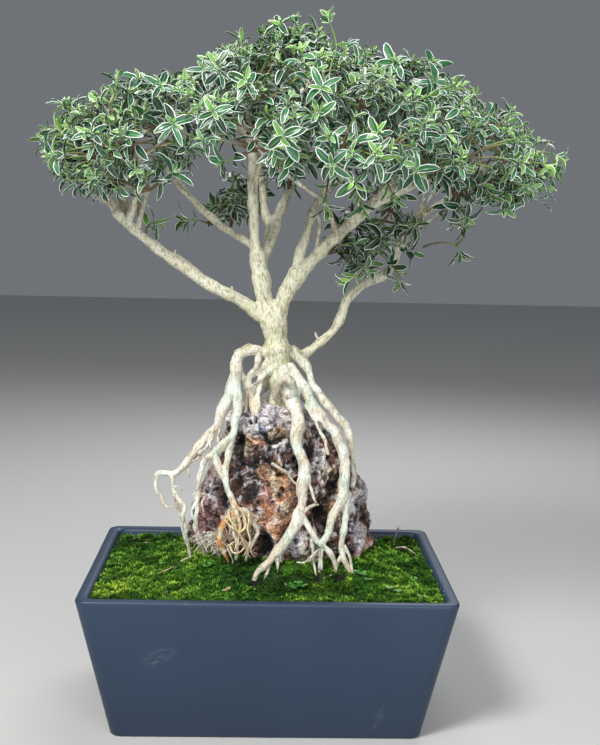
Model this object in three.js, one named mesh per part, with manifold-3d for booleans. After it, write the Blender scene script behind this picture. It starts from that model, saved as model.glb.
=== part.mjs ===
import * as THREE from 'three';
import { mergeVertices } from 'three/addons/utils/BufferGeometryUtils.js';
import Module from 'manifold-3d';

// A serissa bonsai with small cream-edged leaves, grown with its roots over a rock and
// standing in a tapered rectangular pot. Millimetres, +Z up, +X right and +Y away from
// the front. The origin is the middle of the pot's underside.

// Pot
const potWidth = 280;
const potDepth = 200;
const potHeight = 113;
const potInset = 23;
const potWall = 9;
const potFloor = 9;
const potCorner = 9;
const lipRound = 2;
const footRound = 1.5;
const drainRadius = 7;
const drainPlace = 62;

// Drain screens, which keep the soil in
const screenSide = 30;
const screenThick = 0.8;
const screenHole = 8;
const screenPitch = 13;

// Soil and moss
const soilTop = 103;
const mossEdge = 109;
const mossMound = 20;
const mossTop = 128;
const moundMiddle = [9, 2];
const moundHalf = [97, 74];
const mossFrontRise = 1.5;
const mossBump = 1.1;
const mossRings = 7;
const wallClearance = 0.4;

// Rock, as sections from its buried base to its top:
// height, middle X, middle Y, half width, half depth
const rockSections = [
  [92, 9, 5, 66, 46],
  [118, 13, 5, 71, 49],
  [140, 12, 4, 72, 48],
  [160, 10, 3, 68, 46],
  [180, 9, 3, 62, 43],
  [200, 9, 4, 52, 40],
  [214, 7, 4, 44, 37],
  [226, 2, 3, 38, 33],
  [235, 0, 2, 31, 27],
  [240, 0, 1, 20, 18],
];
const rockSides = 26;
const rockRings = 17;

// Clearances
const touchGap = 0.3;
const rootClearance = 0.45;
const leafClearance = 0.45;
const shortestEdge = 0.02;

// Leaves, four to a star at a shoot's tip
const leafLength = 16;
const leafHalfWidth = 3.3;
const leafThick = 0.85;
const leafRise = 0.42;
const leafFold = 0.9;
const leafWidest = 0.52;
const starHub = 2.1;
const starSpacing = 30;

// Shoots, which fan out from the end of a twig
const shootRadius = 0.85;
const shootLength = 22;
const shootLengthVaries = 3;
const shootLean = 1.05;
const shootLeanVaries = 0.1;
const shootLift = 0.35;
const firstFootRadius = 1.2;
const laterFootRadius = 0.45;
const forkRise = 2.6;
const sprayReach = 16;
const shootTrials = 24;
const trialTurn = 0.5;
const trialShrink = 0.006;

// Twigs, one to each spray
const twigTipRadius = 1.25;
const twigSag = 0.07;
const steepCost = 1.6;
const twigClimb = 0.45;
const samplesPerPoint = 4;

// How finely stems are divided, by their greatest radius
const limbStep = 19;
const rootStep = 16.5;
const thickLimb = 5;
const thinLimb = 3.5;

// Where a route point is the middle of a round stem: x, y, z, radius
const trunkRoute = [
  [8, -2, 236, 11.5], [8, -2, 251, 10.3], [6, -1, 269, 9.9], [4, 0, 284, 10.3],
  [2, 0, 298, 9.6], [0, 0, 310, 10],
];

const limbRoutes = {
  lowLeft: [
    [-1, 0, 306, 7], [-14, -2, 315, 5.3], [-29, -5, 325, 4.8], [-49, -8, 335, 4.7],
    [-68, -10, 348, 4.5], [-87, -12, 361, 4.1], [-102, -14, 372, 3.8], [-112, -15, 381, 4.1],
    [-120, -15, 389, 3.4],
  ],
  leftRise: [
    [-120, -15, 388, 3.2], [-127, -12, 404, 2.7], [-132, -6, 424, 2.3], [-134, 0, 446, 1.8],
  ],
  leftFront: [
    [-111, -15, 380, 3], [-105, -26, 395, 2.6], [-100, -40, 411, 2.2], [-98, -52, 428, 1.7],
  ],
  leftBack: [
    [-114, -15, 383, 3], [-119, 8, 396, 2.6], [-124, 36, 412, 2.2], [-128, 58, 432, 1.7],
  ],
  middle: [
    [0, 0, 306, 8], [-6, -1, 323, 6.3], [-9, -1, 335, 6.1], [-11, 0, 348, 6.5],
    [-13, 0, 360, 5.6],
  ],
  middleRise: [
    [-13, 0, 356, 5.2], [-15, -3, 373, 4], [-16, -6, 392, 3.9], [-17, -8, 411, 3.9],
    [-17, -10, 430, 3.8], [-20, -10, 448, 3.4], [-23, -10, 463, 3.2], [-27, -9, 475, 2.8],
    [-31, -8, 487, 2.2],
  ],
  middleSide: [
    [-19, -10, 444, 2.6], [-4, -18, 458, 2.2], [12, -26, 472, 2], [24, -30, 486, 1.6],
  ],
  middleFront: [
    [-17, -7, 405, 2.6], [-14, -28, 418, 2.2], [-10, -50, 430, 1.9], [-4, -70, 444, 1.6],
  ],
  middleBack: [
    [-12, 0, 352, 5], [-4, 14, 367, 4.8], [-1, 24, 378, 5.2], [4, 36, 390, 4],
    [10, 50, 405, 3.2], [18, 66, 428, 2.6], [24, 82, 454, 2.1], [26, 92, 480, 1.7],
  ],
  backLeft: [
    [-1, 24, 377, 3.6], [-8, 34, 392, 3.2], [-10, 44, 408, 2.9], [-12, 54, 430, 2.4],
    [-14, 62, 455, 2],
  ],
  leftFar: [
    [-12, 1, 361, 4.4], [-23, 10, 369, 3.2], [-35, 22, 375, 3.1], [-50, 36, 385, 3],
    [-64, 48, 397, 2.8], [-77, 60, 410, 2.5], [-88, 70, 423, 2.1],
  ],
  right: [
    [2, 0, 306, 8], [8, -2, 325, 6.2], [14, -4, 336, 6], [20, -6, 347, 6.4],
  ],
  rightLong: [
    [19, -5, 344, 6], [31, -9, 357, 5.1], [42, -13, 369, 4.9], [56, -17, 383, 4.9],
    [68, -21, 395, 4.8], [82, -25, 404, 4.9], [94, -28, 410, 4.4], [107, -30, 416, 3.2],
    [128, -31, 421, 2.6], [152, -28, 426, 2.2], [176, -20, 430, 1.7],
  ],
  rightFront: [
    [68, -21, 394, 3], [78, -38, 408, 2.5], [86, -58, 422, 2.1], [90, -76, 438, 1.7],
  ],
  rightRise: [
    [95, -28, 409, 3], [110, -20, 430, 2.5], [124, -12, 452, 2.1], [132, -6, 472, 1.7],
  ],
  rightInner: [
    [18, -5, 343, 5], [20, -2, 359, 4.1], [24, 1, 372, 4.1], [28, 4, 386, 4.4],
    [33, 7, 397, 4.2], [39, 10, 407, 3.7], [46, 13, 424, 2.8], [52, 12, 446, 2.2],
    [56, 8, 472, 1.7],
  ],
  rightBack: [
    [38, 10, 405, 3.2], [52, 34, 420, 2.7], [68, 62, 440, 2.3], [84, 88, 462, 1.8],
  ],
  lowRight: [
    [14, 6, 283, 5.4], [22, 14, 278, 4.7], [30, 18, 282, 3.9], [40, 20, 290, 3.7],
    [49, 22, 299, 3.6], [55, 24, 310, 3.5], [59, 26, 322, 3.9], [68, 28, 331, 3.8],
    [79, 31, 338, 3.5], [91, 34, 344, 3.8], [98, 38, 356, 4], [103, 42, 371, 3.4],
    [112, 46, 383, 2.8], [127, 52, 395, 2.3], [146, 60, 409, 1.8], [164, 68, 424, 1.5],
  ],
};

const rootRoutes = {
  leftMain: [
    [0, 0, 281, 6], [-10, -6, 284, 4], [-18, -11, 285, 3.8], [-24, -15, 282, 4.1],
    [-27, -18, 275, 4.8], [-27, -20, 266, 4.6], [-26, -22, 256, 3.9], [-26, -26, 245, 3.6],
    [-28, -32, 232, 3.3], [-30, -38, 219, 2.9], [-32, -42, 207, 2.6], [-33, -44, 195, 2.5],
    [-32, -46, 184, 2.5], [-28, -48, 174, 2.5], [-25, -49, 167, 2.5],
  ],
  leftOuter: [
    [-27, -18, 271, 4.2], [-30, -20, 261, 3.9], [-33, -22, 252, 3.8], [-37, -24, 242, 3.8],
    [-41, -26, 230, 3.3], [-50, -28, 219, 3.1], [-57, -29, 210, 3.3], [-63, -29, 201, 3.2],
    [-69, -29, 194, 2.8], [-76, -29, 189, 2.2],
  ],
  hook: [
    [-74, -29, 190, 2], [-82, -29, 191, 1.8], [-86, -29, 189, 1.7], [-87, -30, 184, 1.6],
    [-85, -31, 176, 1.6], [-83, -32, 169, 1.5], [-77, -32, 164, 1.4],
  ],
  hookDrop: [
    [-75, -29, 190, 2], [-74, -30, 178, 1.8], [-70, -31, 171, 1.8], [-65, -32, 165, 1.8],
    [-66, -33, 158, 1.7], [-65, -32, 149, 1.6], [-64, -29, 139, 1.5], [-62, -26, 128, 1.5],
    [-61, -25, 108, 1.4],
  ],
  leftCross: [
    [-31, -39, 221, 2.5], [-36, -41, 216, 3.1], [-42, -40, 210, 3.6], [-41, -42, 203, 2.9],
    [-38, -45, 196, 2.1], [-35, -47, 189, 1.6], [-29, -48, 180, 1.4],
  ],
  leftDrop: [
    [-41, -40, 210, 2], [-49, -38, 205, 2.4], [-52, -38, 196, 2.1], [-54, -38, 186, 1.9],
    [-54, -39, 175, 1.9], [-55, -40, 163, 1.9], [-57, -38, 151, 1.8], [-54, -35, 140, 1.6],
    [-50, -31, 129, 1.5], [-49, -28, 107, 1.4],
  ],
  innerLeft: [
    [-2, -4, 275, 3.9], [-12, -9, 270, 3.3], [-17, -12, 264, 2.5], [-16, -14, 256, 2.2],
    [-15, -16, 248, 2.1], [-14, -17, 239, 2],
  ],
  innerRight: [
    [1, -6, 270, 3.1], [-7, -12, 264, 2.3], [-9, -15, 257, 2.1], [-10, -17, 250, 2],
    [-11, -18, 239, 1.9],
  ],
  innerFar: [
    [-25, -17, 269, 2.5], [-20, -14, 261, 2.1], [-20, -12, 253, 2], [-20, -12, 238, 1.9],
  ],
  front: [
    [8, -5, 272, 5.5], [11, -12, 260, 6.8], [15, -19, 250, 6.8], [19, -28, 241, 5.7],
    [21, -34, 229, 5.1], [19, -38, 220, 4.2], [22, -40, 210, 4.3], [26, -42, 200, 4.7],
    [26, -45, 189, 4.5], [24, -48, 179, 3.9], [22, -50, 168, 3.5], [20, -52, 159, 3.5],
    [16, -54, 151, 3.6], [11, -56, 143, 3.6], [5, -58, 137, 3.5], [-1, -60, 130, 3],
    [-8, -62, 125, 2.2], [-14, -63, 110, 1.2],
  ],
  frontRight: [
    [22, -50, 169, 2.6], [28, -51, 159, 2.4], [34, -53, 151, 2.3], [40, -54, 144, 2.1],
    [46, -54, 137, 2], [50, -52, 127, 1.8], [52, -50, 107, 1.4],
  ],
  frontThin: [
    [39, -54, 146, 1.5], [39, -54, 136, 1.3], [38, -52, 108, 1.2],
  ],
  rightMain: [
    [13, -3, 272, 4.7], [22, -10, 262, 4], [27, -16, 255, 3.9], [32, -22, 246, 3.9],
    [38, -27, 239, 3.8], [44, -29, 230, 3.8], [50, -31, 221, 4], [55, -33, 211, 4.2],
    [57, -34, 200, 4.1], [57, -36, 190, 3.9], [56, -39, 179, 3.8], [52, -43, 170, 3.4],
    [47, -47, 161, 3.4], [45, -50, 153, 3.1], [40, -53, 144, 2.2],
  ],
  rightDrop: [
    [58, -37, 183, 2.8], [59, -40, 173, 2.7], [58, -42, 162, 2.7], [57, -44, 153, 2.7],
    [56, -46, 143, 2.2], [57, -48, 133, 2.1], [60, -50, 124, 1.9], [62, -51, 107, 1.4],
  ],
  rightInner: [
    [57, -47, 137, 1.8], [53, -49, 128, 1.6], [54, -50, 107, 1.3],
  ],
  rightOuter: [
    [12, 3, 283, 4.6], [21, 3, 277, 3.8], [28, 1, 270, 3.6], [32, -2, 260, 3.4],
    [36, -5, 251, 3.1], [42, -8, 243, 3.3], [50, -10, 235, 3.3], [58, -12, 228, 3.5],
    [62, -13, 219, 3.9], [63, -14, 211, 2.3], [64, -17, 204, 1.4], [64, -21, 197, 2.1],
    [65, -26, 190, 1.9], [63, -33, 183, 1.7],
  ],
  rightThin: [
    [27, -20, 245, 1.9], [33, -31, 237, 1.7], [37, -34, 228, 1.6], [41, -38, 219, 1.7],
    [44, -40, 210, 1.3],
  ],
  strandOuter: [
    [-25, -49, 172, 2.4], [-34, -50, 158, 2.1], [-36, -47, 143, 1.9], [-32, -43, 130, 1.6],
    [-31, -41, 107, 1.3],
  ],
  strandLeft: [
    [-25, -49, 170, 2], [-27, -53, 155, 1.5], [-23, -50, 140, 1.4], [-25, -45, 127, 1.3],
    [-25, -44, 107, 1.2],
  ],
  strandRight: [
    [-25, -49, 170, 2.1], [-16, -50, 162, 1.8], [-10, -51, 152, 1.6], [-15, -49, 138, 1.4],
    [-18, -46, 126, 1.3], [-18, -45, 107, 1.2],
  ],
  backLeft: [
    [2, 3, 266, 5.5], [-10, 20, 250, 4.4], [-20, 34, 234, 4], [-28, 43, 214, 3.6],
    [-34, 49, 190, 3.2], [-38, 54, 165, 2.8], [-40, 58, 138, 2.3], [-42, 62, 106, 1.6],
  ],
  backRight: [
    [12, 3, 266, 5.5], [24, 18, 250, 4.4], [34, 32, 234, 4], [42, 42, 214, 3.6],
    [50, 48, 190, 3.1], [55, 53, 165, 2.7], [58, 57, 138, 2.2], [62, 61, 106, 1.6],
  ],
  backMiddle: [
    [7, 4, 262, 5], [6, 22, 250, 4.2], [5, 36, 236, 3.8], [6, 46, 214, 3.4],
    [8, 52, 188, 3], [6, 57, 160, 2.6], [3, 61, 132, 2.1], [2, 64, 106, 1.6],
  ],
};

// Middle of each spray of foliage: x, y, z and its number of shoots
const sprayPlaces = [
  [-168, 4, 448, 3], [-140, -25, 462, 2], [-126, 14, 478, 2], [-101, -12, 480, 2],
  [-78, 20, 486, 2], [-141, -45, 431, 2], [-115, -68, 438, 2], [-90, -60, 451, 2],
  [-137, -15, 412, 2], [-106, -52, 406, 2], [-162, 50, 430, 2], [-126, 64, 462, 2],
  [-88, 78, 470, 2], [-56, -5, 495, 2], [-12, 12, 517, 2], [12, 0, 530, 3],
  [-40, -75, 467, 2], [-11, -80, 480, 2], [-24, -88, 440, 2], [8, -104, 457, 2],
  [-50, 52, 490, 2], [-18, 92, 490, 2], [18, 58, 517, 2], [40, -20, 512, 2],
  [67, 20, 515, 2], [95, -5, 504, 2], [122, -20, 494, 2], [153, 5, 482, 2],
  [179, 0, 460, 2], [208, -5, 430, 3], [36, -98, 476, 2], [62, -104, 470, 2],
  [90, -94, 468, 2], [117, -84, 454, 2], [147, -70, 436, 2], [178, -36, 416, 2],
  [46, -112, 440, 2], [78, -112, 436, 2], [110, -80, 421, 2], [148, -26, 406, 2],
  [44, 106, 494, 2], [68, 62, 510, 2], [94, 104, 482, 2], [116, 54, 496, 2],
  [140, 90, 466, 2], [-52, 64, 396, 2], [184, 58, 452, 2], [210, 36, 426, 2],
  [56, 8, 352, 2], [83, 16, 364, 2], [107, 46, 392, 2], [147, 36, 392, 2],
];

const crownMiddle = new THREE.Vector3(22, 0, 395);
const goldenAngle = Math.PI * (3 - Math.sqrt(5));
const up = new THREE.Vector3(0, 0, 1);

const finishes = {
  pot: new THREE.MeshStandardMaterial({ color: 0x39434f, roughness: 0.55, metalness: 0 }),
  screen: new THREE.MeshStandardMaterial({ color: 0x1c1c1c, roughness: 0.7, metalness: 0 }),
  soil: new THREE.MeshStandardMaterial({ color: 0x2e2119, roughness: 1, metalness: 0 }),
  moss: new THREE.MeshStandardMaterial({ color: 0x4c8420, roughness: 1, metalness: 0 }),
  rock: new THREE.MeshStandardMaterial({ color: 0x6b4a42, roughness: 0.9, metalness: 0 }),
  wood: new THREE.MeshStandardMaterial({ color: 0xcfc9a8, roughness: 0.85, metalness: 0 }),
  leaf: new THREE.MeshStandardMaterial({ color: 0x4d7d4a, roughness: 0.5, metalness: 0 }),
};

const wasm = await Module();
wasm.setup();

function solidOf(geometry) {
  const bare = geometry.clone();
  bare.deleteAttribute('normal');
  bare.deleteAttribute('uv');
  const merged = mergeVertices(bare, 1e-4);
  return new wasm.Manifold(new wasm.Mesh({
    numProp: 3,
    vertProperties: Float32Array.from(merged.attributes.position.array),
    triVerts: Uint32Array.from(merged.index.array),
  }));
}

function geometryOf(solid) {
  const mesh = solid.getMesh();
  const geometry = new THREE.BufferGeometry();
  geometry.setAttribute('position', new THREE.BufferAttribute(mesh.vertProperties, 3));
  geometry.setIndex(new THREE.BufferAttribute(mesh.triVerts, 1));
  geometry.computeVertexNormals();
  return geometry;
}

// The largest body of a joined or cut solid, with no loose scrap and no sliver of an edge
function mainBody(solid) {
  const largest = solid.decompose().sort((a, b) => b.volume() - a.volume())[0];
  return largest.simplify(shortestEdge);
}

function named(name, geometry, finish) {
  const mesh = new THREE.Mesh(geometry, finish);
  mesh.name = name;
  return mesh;
}

// A closed skin over rings of equal length, with a fan over the first and the last ring
function skinOverRings(rings) {
  const count = rings[0].length;
  const positions = rings.flat().flatMap((point) => point.toArray());
  const index = [];
  const middleOf = (ring) => ring.reduce((sum, p) => sum.add(p), new THREE.Vector3())
    .divideScalar(count);
  for (let ring = 0; ring + 1 < rings.length; ring += 1) {
    for (let i = 0; i < count; i += 1) {
      const a = ring * count + i;
      const b = ring * count + (i + 1) % count;
      index.push(a, b, b + count, a, b + count, a + count);
    }
  }
  const first = positions.length / 3;
  positions.push(...middleOf(rings[0]).toArray(), ...middleOf(rings.at(-1)).toArray());
  const last = (rings.length - 1) * count;
  for (let i = 0; i < count; i += 1) {
    const next = (i + 1) % count;
    index.push(first, next, i, first + 1, last + i, last + next);
  }
  const geometry = new THREE.BufferGeometry();
  geometry.setAttribute('position', new THREE.Float32BufferAttribute(positions, 3));
  geometry.setIndex(index);
  return geometry;
}

// A rectangle with round corners, anticlockwise seen from above
function roundedRing(halfX, halfY, corner, z, cornerSteps = 3, sideSteps = 1) {
  const ring = [];
  const turns = [[1, 1], [-1, 1], [-1, -1], [1, -1]];
  turns.forEach(([sx, sy], quarter) => {
    const middle = new THREE.Vector3(sx * (halfX - corner), sy * (halfY - corner), z);
    for (let step = 0; step <= cornerSteps; step += 1) {
      const angle = (quarter + step / cornerSteps) * Math.PI / 2;
      ring.push(middle.clone().add(
        new THREE.Vector3(Math.cos(angle) * corner, Math.sin(angle) * corner, 0),
      ));
    }
    const [nx, ny] = turns[(quarter + 1) % 4];
    const from = ring.at(-1);
    const angle = (quarter + 1) * Math.PI / 2;
    const to = new THREE.Vector3(
      nx * (halfX - corner) + Math.cos(angle) * corner,
      ny * (halfY - corner) + Math.sin(angle) * corner,
      z,
    );
    for (let step = 1; step < sideSteps; step += 1) {
      ring.push(from.clone().lerp(to, step / sideSteps));
    }
  });
  return ring;
}

// How far the pot's outside stands from its middle plane at a height
function potHalf(side, z) {
  return side / 2 - potInset * (1 - z / potHeight);
}

function innerRing(z, clearance, cornerSteps, sideSteps) {
  const halfX = potHalf(potWidth, z) - potWall - clearance;
  const halfY = potHalf(potDepth, z) - potWall - clearance;
  return roundedRing(halfX, halfY, potCorner - 3, z, cornerSteps, sideSteps);
}

function makePot() {
  const outer = (z, inset) => roundedRing(
    potHalf(potWidth, z) - inset, potHalf(potDepth, z) - inset, potCorner, z,
  );
  const lipSide = potHeight - lipRound;
  const lipCut = lipRound * 0.3;
  const body = solidOf(skinOverRings([
    outer(0, footRound),
    outer(footRound, 0),
    outer(lipSide, 0),
    outer(potHeight - lipCut, lipCut),
    outer(potHeight, lipRound),
    innerRing(potHeight, -lipRound, 3),
    innerRing(potHeight - lipCut, -lipCut, 3),
    innerRing(lipSide, 0, 3),
    innerRing(potFloor, 0, 3),
  ]));
  const holes = [-drainPlace, drainPlace].map((x) => {
    const drill = new THREE.CylinderGeometry(drainRadius, drainRadius, potFloor * 3, 16);
    drill.rotateX(Math.PI / 2).translate(x, 0, potFloor / 2);
    return solidOf(drill);
  });
  return geometryOf(body.subtract(wasm.Manifold.union(holes)));
}

function makeScreen(x) {
  const box = (side, height, px, py) => solidOf(
    new THREE.BoxGeometry(side, side, height).translate(px, py, 0),
  );
  const places = [-screenPitch / 2, screenPitch / 2];
  const holes = places.flatMap((px) => places.map((py) => box(screenHole, 4, px, py)));
  const sheet = box(screenSide, screenThick, 0, 0).subtract(wasm.Manifold.union(holes));
  return geometryOf(sheet).translate(x, 0, potFloor + touchGap + screenThick / 2);
}

// A round stem along a route, its radius following the route's own
function stem(route, sides, steps) {
  const curve = new THREE.CatmullRomCurve3(
    route.map(([x, y, z]) => new THREE.Vector3(x, y, z)), false, 'centripetal',
  );
  const frames = curve.computeFrenetFrames(steps, false);
  const centres = Array.from({ length: steps + 1 }, (_, i) => curve.getPointAt(i / steps));
  const lengths = curve.getLengths(route.length * 20);
  const total = lengths.at(-1);
  const knots = route.map((_, i) => {
    const at = Math.round(i / (route.length - 1) * route.length * 20);
    return lengths[at] / total;
  });
  const radiusAt = (u) => {
    const i = Math.min(knots.length - 2, knots.findLastIndex((knot) => knot <= u + 1e-9));
    const share = (u - knots[i]) / (knots[i + 1] - knots[i]);
    return THREE.MathUtils.lerp(route[i][3], route[i + 1][3], share);
  };
  const geometry = new THREE.CylinderGeometry(1, 1, 1, sides, steps);
  const position = geometry.attributes.position;
  for (let i = 0; i < position.count; i += 1) {
    const u = position.getY(i) + 0.5;
    const step = Math.round(u * steps);
    const radius = radiusAt(u);
    const point = centres[step].clone()
      .addScaledVector(frames.binormals[step], position.getX(i) * radius)
      .addScaledVector(frames.normals[step], position.getZ(i) * radius);
    position.setXYZ(i, point.x, point.y, point.z);
  }
  return solidOf(geometry);
}

function grown(route, extra) {
  return route.map(([x, y, z, radius]) => [x, y, z, radius + extra]);
}

function routeLength(route) {
  let length = 0;
  for (let i = 1; i < route.length; i += 1) {
    length += Math.hypot(...[0, 1, 2].map((axis) => route[i][axis] - route[i - 1][axis]));
  }
  return length;
}

function rootStem(route, extra) {
  const thick = Math.max(...route.map((point) => point[3]));
  const sides = thick > thinLimb ? 5 : 4;
  const steps = Math.max(3, Math.round(routeLength(route) / rootStep));
  return stem(grown(route, extra), sides, steps);
}

// Half sizes and middle of the rock at a height, between its sections
function rockSection(z) {
  const last = rockSections.length - 1;
  const i = Math.min(last - 1, Math.max(0, rockSections.findLastIndex((row) => row[0] <= z)));
  const [low, high] = [rockSections[i], rockSections[i + 1]];
  const share = (z - low[0]) / (high[0] - low[0]);
  return low.map((value, column) => THREE.MathUtils.lerp(value, high[column], share));
}

// Crags round the rock, as a share of its half size
function rockCrag(angle, z) {
  const broad = 0.045 * Math.sin(3 * angle + 0.035 * z + 0.6);
  const ribs = 0.05 * Math.sin(8 * angle - 0.05 * z + 1.3);
  const knobs = 0.04 * Math.sin(5 * angle + 0.16 * z) * Math.sin(0.11 * z - 2 * angle);
  return broad + ribs + knobs;
}

function makeRockSolid(grow) {
  const [bottom, top] = [rockSections[0][0], rockSections.at(-1)[0]];
  const rings = [];
  for (let ring = 0; ring <= rockRings; ring += 1) {
    const z = THREE.MathUtils.lerp(bottom, top, ring / rockRings);
    const [, middleX, middleY, halfX, halfY] = rockSection(z);
    const points = [];
    for (let side = 0; side < rockSides; side += 1) {
      const angle = (side + (ring % 2) / 2) / rockSides * Math.PI * 2;
      const reach = 1 + rockCrag(angle, z);
      const rise = ring === 0 ? -grow : ring === rockRings ? grow : 0;
      points.push(new THREE.Vector3(
        middleX + Math.cos(angle) * (halfX * reach + grow),
        middleY + Math.sin(angle) * (halfY * reach + grow),
        z + rise,
      ));
    }
    rings.push(points);
  }
  return solidOf(skinOverRings(rings));
}

// Height of the moss, a flat-topped mound round the rock, tufted all over
function mossHeight(x, y) {
  const away = Math.hypot(
    (x - moundMiddle[0]) / moundHalf[0], (y - moundMiddle[1]) / moundHalf[1],
  );
  const mound = mossMound * Math.exp(-(away ** 6));
  const frontRise = -mossFrontRise * THREE.MathUtils.clamp(y / 60, -1, 1);
  const tufts = Math.sin(0.33 * x + 0.21 * y) + Math.sin(0.45 * y - 0.12 * x + 2);
  return mossEdge + mound + frontRise + mossBump * tufts;
}

function makeMossSolid() {
  const bottomZ = soilTop + touchGap;
  const rim = innerRing(bottomZ, wallClearance, 2, 6);
  const rings = [rim];
  for (let ring = 0; ring < mossRings; ring += 1) {
    const scale = 1 - ring / mossRings;
    rings.push(rim.map((point) => {
      const x = point.x * scale;
      const y = point.y * scale;
      return new THREE.Vector3(x, y, Math.min(mossTop, mossHeight(x, y)));
    }));
  }
  return solidOf(skinOverRings(rings));
}

function makeSoilSolid() {
  const bottomZ = potFloor + touchGap;
  const body = solidOf(skinOverRings([
    innerRing(bottomZ, wallClearance, 3), innerRing(soilTop, wallClearance, 3),
  ]));
  const pockets = [-drainPlace, drainPlace].map((x) => {
    const side = screenSide + 2 * touchGap;
    const deep = 2 * (screenThick + 2 * touchGap);
    return solidOf(new THREE.BoxGeometry(side, side, deep).translate(x, 0, bottomZ));
  });
  return body.subtract(wasm.Manifold.union(pockets));
}

// The nearest limb point that lies below a spray, where its twig springs
function springPoint(place) {
  let best = null;
  for (const route of Object.values(limbRoutes)) {
    const curve = new THREE.CatmullRomCurve3(
      route.map(([x, y, z]) => new THREE.Vector3(x, y, z)), false, 'centripetal',
    );
    const samples = route.length * samplesPerPoint;
    for (let i = samplesPerPoint; i <= samples; i += 1) {
      const point = curve.getPoint(i / samples);
      const radius = route[Math.min(route.length - 1, Math.round(i / samplesPerPoint))][3];
      const away = point.distanceTo(place);
      const steep = Math.max(0, point.z - place.z + twigClimb * away);
      const cost = away + steepCost * steep;
      if (!best || cost < best.cost) best = { cost, point, radius };
    }
  }
  return best;
}

// A twig from its limb to where a spray starts, sagging a little on its way
function twigRoute(place) {
  const spring = springPoint(place);
  const base = spring.point;
  const middle = base.clone().lerp(place, 0.5);
  const away = base.distanceTo(place);
  middle.z -= twigSag * away;
  const thick = Math.min(spring.radius * 0.8, 1.2 + 0.018 * away);
  return [
    [base.x, base.y, base.z, thick],
    [middle.x, middle.y, middle.z, (thick + twigTipRadius) / 2],
    [place.x, place.y, place.z, twigTipRadius],
  ];
}

function routeEnd(route) {
  const curve = new THREE.CatmullRomCurve3(
    route.map(([x, y, z]) => new THREE.Vector3(x, y, z)), false, 'centripetal',
  );
  return { point: curve.getPointAt(1), along: curve.getTangentAt(1) };
}

// One even draw between 0 and 1 for a whole number
function draw(seed) {
  const value = Math.sin(seed * 12.9898) * 43758.5453;
  return value - Math.floor(value);
}

// Two directions square to an axis and to each other
function squareTo(axis) {
  const helper = Math.abs(axis.z) < 0.9 ? up : new THREE.Vector3(1, 0, 0);
  const side = new THREE.Vector3().crossVectors(helper, axis).normalize();
  return [side, new THREE.Vector3().crossVectors(axis, side)];
}

// Outline of a four-leaved star as [angle, radius, height] round the shoot's axis: a notch
// near the hub, a broad place, the tip and a broad place for each leaf
function starOutline(twist, seed, size) {
  const outline = [];
  for (let leaf = 0; leaf < 4; leaf += 1) {
    const turn = twist + leaf * Math.PI / 2;
    const length = size * leafLength * (0.9 + 0.2 * draw(seed + leaf));
    const rise = leafRise * (0.5 + draw(seed + leaf + 7));
    const reach = length * leafWidest;
    const wide = size * leafHalfWidth;
    const spread = Math.atan2(wide, reach);
    const broad = [Math.hypot(reach, wide), reach * rise + leafFold];
    outline.push([turn - Math.PI / 4, starHub, 0.2]);
    outline.push([turn - spread, ...broad]);
    outline.push([turn, length, length * rise * 0.9]);
    outline.push([turn + spread, ...broad]);
  }
  return outline;
}

// Faces of a leafy shoot. Its points are the middle of the star, the star's outline on top
// and underneath, and three corners of the shoot at the neck and at the foot
function shootFaces(count) {
  const index = [];
  const neckAt = 1 + 2 * count;
  const footAt = neckAt + 3;
  const corner = (i) => neckAt + Math.floor(((i % count) * 3) / count + 1e-9);
  for (let i = 0; i < count; i += 1) {
    const next = (i + 1) % count;
    const [a, b] = [1 + i, 1 + next];
    index.push(0, a, b);
    index.push(a, a + count, b + count, a, b + count, b);
    index.push(a + count, corner(i), b + count);
    if (corner(next) !== corner(i)) index.push(corner(i), corner(next), b + count);
  }
  for (let i = 0; i < 3; i += 1) {
    const next = (i + 1) % 3;
    index.push(neckAt + i, footAt + i, footAt + next, neckAt + i, footAt + next, neckAt + next);
  }
  index.push(footAt, footAt + 2, footAt + 1);
  return index;
}

// A slim shoot with four leaves in a star at its tip, as one closed skin
function leafyShoot(start, tip, footAxis, footRadius, twist, seed, size) {
  const axis = tip.clone().sub(start).normalize();
  const [side, other] = squareTo(axis);
  const outline = starOutline(twist, seed, size);
  const place = (angle, radius, height) => tip.clone()
    .addScaledVector(side, Math.cos(angle) * radius)
    .addScaledVector(other, Math.sin(angle) * radius)
    .addScaledVector(axis, height);
  const top = outline.map(([angle, radius, height]) => place(angle, radius, height));
  const under = outline.map(
    ([angle, radius, height]) => place(angle, radius, height - leafThick),
  );
  const neck = [0, 1, 2].map((corner) => {
    const angle = twist - Math.PI / 4 + corner * Math.PI * 2 / 3;
    return place(angle, shootRadius, -leafThick);
  });
  const neckMiddle = tip.clone().addScaledVector(axis, -leafThick);
  const foot = neck.map((point) => {
    const spoke = point.clone().sub(neckMiddle).projectOnPlane(footAxis);
    return start.clone().add(spoke.setLength(footRadius));
  });
  const points = [tip, ...top, ...under, ...neck, ...foot];
  const geometry = new THREE.BufferGeometry();
  geometry.setAttribute(
    'position', new THREE.Float32BufferAttribute(points.flatMap((p) => p.toArray()), 3),
  );
  geometry.setIndex(shootFaces(outline.length));
  return solidOf(geometry);
}

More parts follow.
